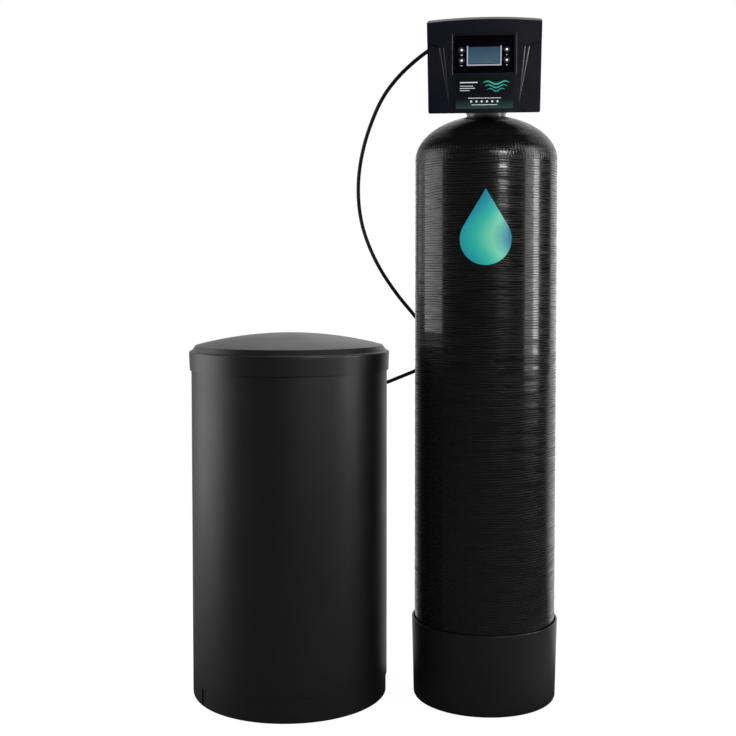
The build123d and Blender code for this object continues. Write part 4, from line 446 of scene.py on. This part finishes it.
# %% Winding ridges
hoop_pitch = 11.6 * millimetre
band_turns, band_rise = 64.0, 55.0
shoulder_z, foot_shoulder_z = 1.278, 0.107
wobble_cells, wobble_on_hoops, wobble_on_bands = 7.0, 9.0, 5.0
fibre_cells, patch_cells = (16.0, 16.0, 520.0), (22.0, 22.0, 75.0)
hoop_height, wall_fibre_height = 0.4, 0.24
band_height, end_fibre_height = 1.5, 0.25
hoop_sharpness = 3.0
patch_starts, patch_full, patch_least = 0.38, 0.58, 0.15
end_roughness, wall_roughness = (0.05, 0.3), (0.62, 0.12)
wet_share = 0.62

winding, given, sink = open_group("winding_ridges", {"Hoop share": 1.0}, ["Height", "Roughness", "Coat"])
axis = axes_of(winding, given["Place"])
angle = combine(winding, "ARCTAN2", axis["X"], axis["Y"])
wobble = noise(winding, given["Place"], wobble_cells, detail=1.0)


def stretched_noise(cells):
    """Noise with its own number of cells per metre along each axis."""
    place = put(winding, "ShaderNodeVectorMath", {0: given["Place"], 1: cells}, operation="MULTIPLY").outputs[0]
    return noise(winding, place, 1.0)


def ridge_of(phase):
    """Sharp valleys between round ridges: the height is |sin(phase)|."""
    return combine(winding, "ABSOLUTE", combine(winding, "SINE", phase))


fibre = stretched_noise(fibre_cells)
level = combine(winding, "ADD", combine(winding, "MULTIPLY", axis["Z"], 2 * math.pi / hoop_pitch),
                combine(winding, "ADD", angle, combine(winding, "MULTIPLY", wobble, wobble_on_hoops)))
hoops = combine(winding, "SUBTRACT", 1.0, ridge_of(level))
patch = mapped(winding, stretched_noise(patch_cells), patch_starts, patch_full, patch_least, 1.0)
hoops = combine(winding, "MULTIPLY", combine(winding, "POWER", hoops, hoop_sharpness), patch)
bands = []
for lean in (1.0, -1.0):
    climb = combine(winding, "ADD", combine(winding, "MULTIPLY", axis["Z"], band_rise),
                    combine(winding, "MULTIPLY", wobble, wobble_on_bands))
    bands.append(ridge_of(combine(winding, "ADD", combine(winding, "MULTIPLY", angle, band_turns * lean), climb)))
crossing = combine(winding, "MAXIMUM", *bands)
upper = mapped(winding, axis["Z"], shoulder_z - 0.02, shoulder_z + 0.03, 1.0, 0.0)
lower = mapped(winding, axis["Z"], foot_shoulder_z - 0.03, foot_shoulder_z + 0.02)
straight = combine(winding, "MULTIPLY", combine(winding, "MULTIPLY", upper, lower), given["Hoop share"])
wall = combine(winding, "ADD", combine(winding, "MULTIPLY", hoops, hoop_height),
               combine(winding, "MULTIPLY", fibre, wall_fibre_height))
ends = combine(winding, "ADD", combine(winding, "MULTIPLY", crossing, band_height),
               combine(winding, "MULTIPLY", fibre, end_fibre_height))
resin = mapped(winding, combine(winding, "ADD", hoops, fibre), 0.4, 1.0, 1.0, 0.0)
end_gloss = mapped(winding, fibre, 0.3, 0.7, *end_roughness)
wall_gloss = mapped(winding, resin, 0.0, 1.0, *wall_roughness)
wet = combine(winding, "MULTIPLY", combine(winding, "MULTIPLY", resin, straight), wet_share)
fill(winding, sink, {"Height": mixed(winding, straight, ends, wall),
                     "Roughness": mixed(winding, straight, end_gloss, wall_gloss), "Coat": wet})
print("winding pitch", hoop_pitch, "m")

# %% [markdown]
# ## Wound resin
# Cured resin is a thin clear skin over black fibres, thick in the valleys and thin on the ridges. A
# coat layer over a duller base shows that: its weight and the base's gloss follow the ridges.

# %% Wound resin
wound, tree, bsdf = open_material("wound_resin")
place = object_place(tree)
relief = use_group(tree, winding, {"Place": place})
polish = use_group(tree, patches, {"Place": place, "Dull": 0.4, "Bright": 0.25, "Dust": 0.02})
fill(tree, bsdf, {
    "Base Color": mixed_colour(tree, polish["Dust mask"], light_of(12, 12, 13), (0.12, 0.12, 0.11, 1)),
    "Roughness": relief["Roughness"], "Specular IOR Level": 0.42,
    "Coat Weight": relief["Coat"], "Coat Roughness": 0.08,
    "Normal": bumped(tree, relief["Height"], 0.7, millimetre)})
dress(wound, "tank_winding")
print("wound resin ready")

# %% [markdown]
# ## The wound shell
# A mirror-like skin needs smooth normals, and the solid's mesh is too coarse for that. So the shell
# is turned again from the tank's own sizes: two half ellipses and a straight wall, outside and
# inside, with the hole for the neck. The wall gets the slow swell that the hoops leave under resin.

# %% Wound shell
shell_radius, shell_wall = 0.167, 0.0035
shell_foot, shell_foot_rise = 0.012, 0.095
shell_top_rise = 0.105
neck_hole = 0.0462
shell_columns = 160
swell, swell_long, swell_short = 0.00016, 0.041, 0.0173
swell_low, swell_high, swell_fade = 0.11, 1.275, 0.03


def shell_profile(inset, top_rows, wall_rows, foot_rows):
    """Radius and height from the neck hole down to the foot's pole: r = R sin t, z = z0 + H cos t on the
    top dome, r = R on the wall, and r = R cos t, z = z1 - H sin t on the foot."""
    radius = shell_radius - inset
    top, foot = shell_top_rise - inset, shell_foot_rise - inset
    t = np.linspace(math.asin(neck_hole / radius), math.pi / 2, top_rows)
    dome = np.column_stack([radius * np.sin(t), shoulder_z + top * np.cos(t)])
    wall = np.linspace(shoulder_z, shell_foot + shell_foot_rise, wall_rows + 2)[1:-1]
    straight = np.column_stack([np.full_like(wall, radius), wall])
    t = np.linspace(0, math.pi / 2, foot_rows)
    bowl = np.column_stack([radius * np.cos(t), shell_foot + shell_foot_rise - foot * np.sin(t)])
    return np.vstack([dome, straight, bowl])


outer_profile = shell_profile(0.0, top_rows=56, wall_rows=230, foot_rows=24)
inner_profile = shell_profile(shell_wall, top_rows=20, wall_rows=6, foot_rows=14)[::-1]
profile = np.vstack([outer_profile, inner_profile])
t = np.linspace(0, 2 * math.pi, shell_columns, endpoint=False)
radius, height = profile[:, 0:1], profile[:, 1:2]
outside = (np.arange(len(profile)) < len(outer_profile))[:, None]
faded = np.clip((height - swell_low) / swell_fade, 0, 1) * np.clip((swell_high - height) / swell_fade, 0, 1)
wave = np.sin(2 * math.pi * height / swell_long + t) + 0.6 * np.sin(
    2 * math.pi * height / swell_short + 2 * t + 1.3 * np.sin(3 * t))
radius = radius + swell * wave * faded * outside
points = np.stack([radius * np.sin(t), -radius * np.cos(t), np.broadcast_to(height, radius.shape)],
                  axis=-1).reshape(-1, 3)
rows, columns = np.meshgrid(np.arange(len(profile)), np.arange(shell_columns), indexing="ij")
faces = grid_faces(rows, columns, shell_columns, len(profile))
pole_row = len(outer_profile) - 1
faces = faces[(rows != pole_row).reshape(-1)].tolist()
shell = solid_object("wound_shell", points, faces, "softener", "winding", wound)
shell.data.polygons.foreach_set("use_smooth", np.ones(len(shell.data.polygons), bool))
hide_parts("tank_winding")
print("wound shell faces:", len(shell.data.polygons))

# %% [markdown]
# ## Black plastics
# The boot, the brine tank and its lid are black moulded plastic with a satin skin. The head's cover
# is smoother and a little blue. The valve behind it is a coarser glass-filled plastic. One finish
# with different values serves them all.

# %% Black plastics
dress(moulded("boot_plastic", light_of(11, 11, 11), dull=0.42, bright=0.34, grain_size=700.0, dust=0.01,
              specular=0.95), "tank_boot")
dress(moulded("brine_plastic", light_of(12, 12, 12), dull=0.48, bright=0.41, grain_size=620.0, dust=0.015,
              specular=0.85, wave_share=0.55), "brine_tank")
dress(moulded("lid_plastic", light_of(14, 14, 14), dull=0.46, bright=0.38, grain_size=620.0, dust=0.015,
              specular=0.85), "brine_lid")
dress(moulded("cover_plastic", light_of(7, 7, 23), dull=0.34, bright=0.26, grain_size=1100.0, depth=0.06,
              dust=0.01), "front_cover")
dress(moulded("plate_plastic", light_of(24, 24, 27), dull=0.5, bright=0.4, depth=0.12, dust=0.1),
      "back_plate", "power_jack", "meter_sensor", "drive_cap")
dress(moulded("valve_plastic", light_of(30, 30, 32), dull=0.55, bright=0.4, grain_size=800.0, depth=0.2,
              dust=0.15),
      "valve_body", "injector", "brine_elbow", "drain_elbow", "bypass_body", "bypass_caps", "union_nuts")
dress(moulded("grid_plastic", light_of(32, 32, 33), dull=0.6, bright=0.5, grain_size=700.0, depth=0.2,
              dust=0.2), "salt_grid")
tube_plastic = moulded("tube_plastic", light_of(14, 14, 15), dull=0.42, bright=0.34, depth=0.05, dust=0.03)
line_data.materials.append(tube_plastic)
print("black plastics:", len(bpy.data.materials))

# %% [markdown]
# ## Pale and coloured plastics
# Inside the tanks are undyed plastics, white to grey: liner, riser, well and fittings. The gears and
# the float are acetal and foam. The neck between tank and head is a glossy grey. The knobs are red,
# the circuit board is green and the seals are soft black rubber, all with the same grain and dust.

# %% Pale and coloured plastics
dress(moulded("neck_plastic", light_of(124, 122, 117), dull=0.26, bright=0.16, grain_size=700.0, depth=0.06,
              dust=0.1, dust_colour=(0.3, 0.27, 0.22, 1)), "tank_neck")
dress(moulded("liner_plastic", light_of(225, 224, 214), dull=0.4, bright=0.3, grain_size=500.0, depth=0.1,
              dust=0.1), "tank_liner")
dress(moulded("pipe_plastic", light_of(226, 226, 220), dull=0.4, bright=0.3, depth=0.06, dust=0.1,
              dust_colour=(0.4, 0.38, 0.34, 1)), "riser_tube", "pipe_adapters", "brine_well", "brine_well_cap")
dress(moulded("fitting_plastic", light_of(190, 190, 184), dull=0.5, bright=0.4, depth=0.12, dust=0.2,
              dust_colour=(0.35, 0.33, 0.3, 1)),
      "distributors", "well_fittings", "float_valve", "check_ball", "overflow_fitting")
dress(moulded("spacer_plastic", light_of(215, 214, 208), dull=0.45, bright=0.35, depth=0.1, dust=0.1),
      "piston_spacers", "meter_turbine", "meter_cage", "brine_float", "drive_gear", "idler_gear")
dress(moulded("piston_coat", light_of(92, 92, 98), dull=0.3, bright=0.2, grain_size=1200.0, depth=0.04,
              dust=0.05), "piston")
dress(moulded("knob_plastic", light_of(138, 30, 28), dull=0.45, bright=0.35, depth=0.12, dust=0.1),
      "bypass_rotor_left", "bypass_rotor_right")
dress(moulded("board_green", light_of(16, 84, 44), dull=0.4, bright=0.3, grain_size=1600.0, depth=0.1,
              dust=0.2), "circuit_board")
dress(moulded("rubber_black", light_of(26, 26, 26), dull=0.75, bright=0.65, grain_size=1500.0, depth=0.2,
              dust=0.1, specular=0.3), "valve_seals", "flow_controls", "union_gaskets")
print("pale and coloured plastics ready")


# %% [markdown]
# ## Metals
# The piston's rod, the gear's post, the screws and the clips are bright steel, the motor's pinion is
# brass and its case is duller. Turned metal keeps fine tool lines, which show as a restless gloss.

# %% Metals
def metal(name, colour, roughness, lines=2600.0):
    """Machined metal: fine turning lines in its gloss over a plain metallic colour."""
    material, tree, bsdf = open_material(name)
    turned = noise(tree, object_place(tree), lines)
    fill(tree, bsdf, {"Base Color": colour, "Metallic": 1.0,
                      "Roughness": mapped(tree, turned, 0.0, 1.0, roughness * 0.7, roughness * 1.3),
                      "Normal": bumped(tree, turned, 0.05, 0.3 * millimetre)})
    return material


dress(metal("bright_steel", light_of(196, 196, 198), 0.3), "piston_rod", "idler_post", "head_screws",
      "port_clips")
dress(metal("brass", light_of(190, 150, 86), 0.32), "motor_pinion")
dress(metal("motor_case", light_of(150, 152, 156), 0.45), "drive_motor")
print("metals ready")


# %% [markdown]
# ## Bead and pebble beds
# The tall tank is filled with amber resin beads over grey gravel. Drawing each grain would take
# millions of faces inside a closed tank, so cells of a Voronoi texture colour and raise the beds.

# %% Bead and pebble beds
def bed(name, dark, pale, grains, depth):
    """A bed of beads or pebbles: cells of a Voronoi texture colour and raise it."""
    material, tree, bsdf = open_material(name)
    cells = put(tree, "ShaderNodeTexVoronoi", {"Vector": object_place(tree), "Scale": grains}).outputs
    shade = put(tree, "ShaderNodeSeparateColor", {0: cells["Color"]}).outputs[0]
    fill(tree, bsdf, {"Base Color": mixed_colour(tree, shade, dark, pale), "Roughness": 0.5,
                      "Normal": bumped(tree, cells["Distance"], 0.6, depth, invert=True)})
    return material


dress(bed("resin_beads", light_of(120, 66, 20), light_of(196, 128, 52), 900.0, 0.6 * millimetre), "resin_bed")
dress(bed("gravel", light_of(110, 104, 92), light_of(186, 178, 160), 220.0, 3 * millimetre), "gravel_bed")
print("beds ready")

# %% [markdown]
# ## Display
# The window lies in a glossy black panel with a pale, half-metallic bar on three of its sides. The
# bar is a painted highlight: it stands for the light caught by the window's glossy bevel, and the top
# side has none, because its bevel lies in shade. Behind the clear lens a blue-grey display glows
# faintly, darker towards its top.

# %% Panel, window and bar
glow_low, glow_high = 1.480, 1.522
glow_strength = 0.8

dress(moulded("panel_black", light_of(2, 2, 7), dull=0.16, bright=0.1, grain_size=1500.0, depth=0.01, dust=0.01),
      "display_panel")

lens_clear, tree, bsdf = open_material("lens_clear")
haze = mapped(tree, noise(tree, object_place(tree), 30.0), 0.0, 1.0, 0.02, 0.06)
fill(tree, bsdf, {"Base Color": (0.93, 0.96, 0.98, 1), "Roughness": haze, "Transmission Weight": 1.0, "IOR": 1.2})
dress(lens_clear, "display_lens")

display_glow, tree, bsdf = open_material("display_glow")
place = object_place(tree)
share = mapped(tree, axes_of(tree, place)["Z"], glow_low, glow_high)
cells = combine(tree, "SUBTRACT", noise(tree, place, 55.0), 0.5)
share = combine(tree, "ADD", share, combine(tree, "MULTIPLY", cells, 0.3))
glow = mixed_colour(tree, share, light_of(70, 98, 110), light_of(44, 68, 92))
fill(tree, bsdf, {"Base Color": glow, "Emission Color": glow, "Emission Strength": glow_strength,
                  "Roughness": 0.35})
dress(display_glow, "display_module")

# Painted highlight: the bar's pale silver colour stands for light on the bevel's lit sides, not for a silver part.
bevel_highlight, tree, bsdf = open_material("painted_bevel_highlight")
flake = noise(tree, object_place(tree), 2500.0)
fill(tree, bsdf, {"Base Color": light_of(178, 178, 196), "Metallic": 0.25,
                  "Roughness": mapped(tree, flake, 0.0, 1.0, 0.3, 0.5)})
dress(bevel_highlight, "display_trim")
print("display dressed")


# %% [markdown]
# ## Turned and printed shapes
# Rings and dots are surfaces of turn with a listed profile. Signs are thin prints with a
# flat outline. Both could be carved from boxes, but a profile and an outline say exactly what they
# are and close by themselves.

# %% Turned and printed shapes
def turned_front(profile, middle, sides=48):
    """Points and faces of a profile of (radius, height) turned round an axis towards the front:
    x = x0 + r cos t, y = y0 - h, z = z0 + r sin t."""
    t = np.linspace(0, 2 * math.pi, sides, endpoint=False)
    radius, height = profile[:, 0:1], profile[:, 1:2]
    points = np.stack([middle[0] + radius * np.cos(t), np.broadcast_to(middle[1] - height, (len(profile), sides)),
                       middle[2] + radius * np.sin(t)], axis=-1).reshape(-1, 3)
    rows, columns = np.meshgrid(np.arange(len(profile) - 1), np.arange(sides), indexing="ij")
    return points, grid_faces(rows, columns, sides, len(profile)).tolist()


def flat_prism(outline, front_y, thickness):
    """Points and faces of a convex outline in X and Z, carried back by its thickness."""
    outline = np.array(outline, float)
    count = len(outline)
    front = np.column_stack([outline[:, 0], np.full(count, front_y), outline[:, 1]])
    rear = front + np.array([0, thickness, 0])
    ring = np.arange(count)
    after = (ring + 1) % count
    sides = np.column_stack([ring, after, after + count, ring + count]).tolist()
    return np.vstack([front, rear]), [ring.tolist(), (ring[::-1] + count).tolist(), *sides]


def print_object(name, outlines, front_y, thickness, material, slot):
    """Several flat outlines as one printed piece on the fixed body."""
    points, faces, start = [], [], 0
    for outline in outlines:
        some_points, some_faces = flat_prism(outline, front_y, thickness)
        points.append(some_points)
        faces.extend([[index + start for index in face] for face in some_faces])
        start += len(some_points)
    return solid_object(name, np.vstack(points), faces, "softener", slot, material)


def bar(x, z, half_wide, half_tall):
    """Corners of an upright rectangle round a middle."""
    return [(x - half_wide, z - half_tall), (x + half_wide, z - half_tall), (x + half_wide, z + half_tall),
            (x - half_wide, z + half_tall)]


print("shape helpers ready")

# %% [markdown]
# ## Key rings and dots
# Four round keys flank the window: a dark cap inside a pale ring, with a white dot. The rings and
# dots ride on the keys, because each key is pressed by itself.

# %% Key rings and dots
ring_paint = moulded("ring_paint", light_of(58, 58, 66), dull=0.35, bright=0.25, grain_size=1500.0, depth=0.04,
                     dust=0.02)
dot_white = moulded("dot_white", light_of(250, 250, 250), dull=0.4, bright=0.3, grain_size=1500.0, depth=0.02,
                    dust=0.0)
dress(moulded("key_plastic", light_of(16, 16, 20), dull=0.35, bright=0.25, grain_size=1200.0, depth=0.05,
              dust=0.02), "key_upper_left", "key_lower_left", "key_upper_right", "key_lower_right")
key_bodies = {"key_upper_left": "key_1", "key_lower_left": "key_2", "key_upper_right": "key_3",
              "key_lower_right": "key_4"}
dot_profile = np.array([(0, 0.75), (1.2, 0.72), (2.1, 0.5), (2.6, 0.0), (2.5, -0.3), (0, -0.3)]) * millimetre
ring_profile = np.array([(6.2, -0.1), (6.2, 0.1), (6.35, 0.16), (6.65, 0.16), (6.8, 0.05), (6.8, -0.1),
                         (6.2, -0.1)]) * millimetre
key_front = {}
for node_name, body_name in key_bodies.items():
    low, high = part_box(node_name)
    middle = ((low.x + high.x) / 2, low.y, (low.z + high.z) / 2)
    key_front[node_name] = middle
    solid_object(node_name + "_dot", *turned_front(dot_profile, middle), body_name, "key", dot_white)
    solid_object(node_name + "_ring", *turned_front(ring_profile, middle), body_name, "key", ring_paint)
print("keys dressed:", len(key_front))

# %% [markdown]
# ## Printed signs
# Under each key is a small printed sign. Plain shapes stand there: three lines for a menu, an arrow
# to go back, and two triangles for up and down.

# %% Printed signs
sign_paint = moulded("sign_paint", light_of(225, 225, 230), dull=0.5, bright=0.4, grain_size=1500.0, depth=0.02,
                     dust=0.0)
sign_drop = 11.2 * millimetre
sign_size = 1.6 * millimetre
sign_thickness = 0.16 * millimetre
sign_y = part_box("display_panel")[0].y - 0.12 * millimetre


def sign_outlines(node_name, x, z, s):
    """The plain sign of one key, round a middle and in steps of its size."""
    if node_name == "key_upper_left":
        return [bar(x, z + 0.7 * s, 1.6 * s, 0.16 * s), bar(x, z, 1.6 * s, 0.16 * s),
                bar(x, z - 0.7 * s, 1.6 * s, 0.16 * s)]
    if node_name == "key_lower_left":
        return [bar(x, z, 1.3 * s, 0.2 * s), [(x - 1.9 * s, z), (x - 0.9 * s, z - 0.8 * s),
                                              (x - 0.9 * s, z + 0.8 * s)]]
    if node_name == "key_upper_right":
        return [[(x - s, z - 0.6 * s), (x + s, z - 0.6 * s), (x, z + 0.8 * s)]]
    return [[(x, z - 0.8 * s), (x + s, z + 0.6 * s), (x - s, z + 0.6 * s)]]


for node_name, (x, _, z) in key_front.items():
    print_object("sign_" + node_name, sign_outlines(node_name, x, z - sign_drop, sign_size), sign_y,
                 sign_thickness, sign_paint, "panel")
print("signs:", len(key_front))

# %% [markdown]
# ## Badge
# The tall tank carries a printed film in smooth blue and green shades, cut as a plain water drop.
# The colours flow into each other, so one ramp does it, which runs across and bends with the height.

# %% Badge
across_share, bend_share, bend_height = 0.75, 0.28, 4.2

badge_low, badge_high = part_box("tank_badge")
badge_film, tree, bsdf = open_material("badge_film")
place = object_place(tree)
parts = axes_of(tree, place)
across = mapped(tree, parts["X"], badge_low.x, badge_high.x)
upward = mapped(tree, parts["Z"], badge_low.z, badge_high.z)
bend = combine(tree, "SINE", combine(tree, "MULTIPLY", upward, bend_height))
flow = combine(tree, "ADD", combine(tree, "MULTIPLY", across, across_share),
               combine(tree, "MULTIPLY", bend, bend_share))
ramp = put(tree, "ShaderNodeValToRGB", {"Fac": flow})
steps = ramp.color_ramp.elements
steps[0].position, steps[0].color = 0.0, light_of(0, 84, 128)
steps[1].position, steps[1].color = 1.0, light_of(20, 110, 140)
for position, colour in ((0.3, light_of(0, 140, 150)), (0.52, light_of(30, 168, 148)),
                         (0.74, light_of(100, 188, 156))):
    steps.new(position).color = colour
fill(tree, bsdf, {"Base Color": ramp.outputs[0], "Roughness": 0.35,
                  "Normal": bumped(tree, noise(tree, place, 1400.0), 0.04, 0.3 * millimetre)})
dress(badge_film, "tank_badge")
print("badge", [round(v, 4) for v in (*badge_low, *badge_high)])

# %% [markdown]
# ## Label
# The head's label is a dark film that turns teal towards its foot, with a little mist in it. A ramp
# over the height, shaken by a slow noise, gives that.

# %% Label
label_low, label_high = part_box("front_label")
label_film, tree, bsdf = open_material("label_film")
place = object_place(tree)
upward = mapped(tree, axes_of(tree, place)["Z"], label_low.z, label_high.z)
cloud = noise(tree, place, 28.0)
mist = combine(tree, "MULTIPLY", combine(tree, "SUBTRACT", cloud, 0.5), 0.16)
ramp = put(tree, "ShaderNodeValToRGB", {"Fac": combine(tree, "ADD", upward, mist)})
steps = ramp.color_ramp.elements
steps[0].position, steps[0].color = 0.0, light_of(34, 62, 62)
steps[1].position, steps[1].color = 0.5, light_of(2, 5, 8)
steps.new(0.16).color = light_of(20, 42, 42)
steps.new(0.3).color = light_of(6, 16, 18)
fill(tree, bsdf, {"Base Color": ramp.outputs[0], "Roughness": mapped(tree, cloud, 0.0, 1.0, 0.22, 0.34)})
dress(label_film, "front_label")
print("label", [round(v, 4) for v in (*label_low, *label_high)])

# %% [markdown]
# ## Label waves
# Three teal wave lines lie on the label's upper right. Each is a ribbon whose width tapers to both
# ends, worked out along the line and given a thin rectangular section, so its edges stay sharp.

# %% Label waves
print_front = label_low.y - 0.15 * millimetre
print_thickness = 0.17 * millimetre
wave_steps = 80
wave_rise, wave_count = 3.2 * millimetre, 1.5


def wave_ribbon(name, z, start, end, width, material):
    """A thin wave line on the label: z(x) = z0 + a sin(k x), with a width that tapers to both ends."""
    s = np.linspace(0, 1, wave_steps + 1)
    x = start + (end - start) * s
    line = z + wave_rise * np.sin(2 * math.pi * wave_count * s)
    half = 0.5 * width * np.sin(math.pi * np.clip(s, 0.02, 0.98)) ** 0.5
    top = np.column_stack([x, np.full_like(x, print_front), line + half])
    foot = np.column_stack([x, np.full_like(x, print_front), line - half])
    rear = np.array([0, print_thickness, 0])
    points = np.stack([foot, top, top + rear, foot + rear], axis=1).reshape(-1, 3)
    rows, columns = np.meshgrid(np.arange(wave_steps), np.arange(4), indexing="ij")
    last = 4 * wave_steps
    faces = grid_faces(rows, columns, 4, wave_steps + 1).tolist()
    faces += [[3, 2, 1, 0], [last, last + 1, last + 2, last + 3]]
    return solid_object(name, points, faces, "softener", "label", material)


wave_teal = moulded("wave_teal", light_of(40, 150, 136), dull=0.4, bright=0.3, grain_size=1500.0, depth=0.02,
                    dust=0.0)
wave_pale = moulded("wave_pale", light_of(196, 204, 206), dull=0.45, bright=0.35, grain_size=1500.0, depth=0.02,
                    dust=0.0)
wave_left, wave_right = label_low.x + 0.060, label_high.x - 0.008
for name, drop, inset, width in (("wave_upper", 0.014, 0.0, 0.0042), ("wave_middle", 0.022, 0.005, 0.0034),
                                 ("wave_lower", 0.030, 0.010, 0.0026)):
    wave_ribbon(name, label_high.z - drop, wave_left + inset, wave_right - inset, width, wave_teal)
print("label waves: 3")

# %% [markdown]
# ## Label bars and dots
# Pale bars fill the label's upper left, and a row of dots between two thin lines its foot. They are
# printed ink, so they are thin prisms that stand a little proud of the film.

# %% Label bars and dots
bar_left = label_low.x + 0.009
bar_outlines = [bar(bar_left + wide / 2, label_high.z - drop, wide / 2, tall / 2)
                for drop, wide, tall in ((0.013, 0.040, 0.0024), (0.021, 0.030, 0.0015),
                                         (0.026, 0.034, 0.0015), (0.031, 0.022, 0.0015))]
bar_outlines += [bar(label_low.x + 0.064, label_low.z + rise, wide / 2, 0.7 * millimetre)
                 for rise, wide in ((0.0235, 0.074), (0.0085, 0.058))]
print_object("label_bars", bar_outlines, print_front, print_thickness, wave_pale, "label")
dot_count, dot_sides = 6, 20
dot_first, dot_step, dot_radius = 0.0345, 0.0118, 0.0024
turns = np.linspace(0, 2 * math.pi, dot_sides, endpoint=False)
dot_outlines = [np.column_stack([label_low.x + dot_first + dot_step * column + dot_radius * np.cos(turns),
                                 label_low.z + 0.016 + dot_radius * np.sin(turns)])
                for column in range(dot_count)]
print_object("label_dots", dot_outlines, print_front, print_thickness, wave_pale, "label")
print("label bars:", len(bar_outlines), "and dots:", dot_count)
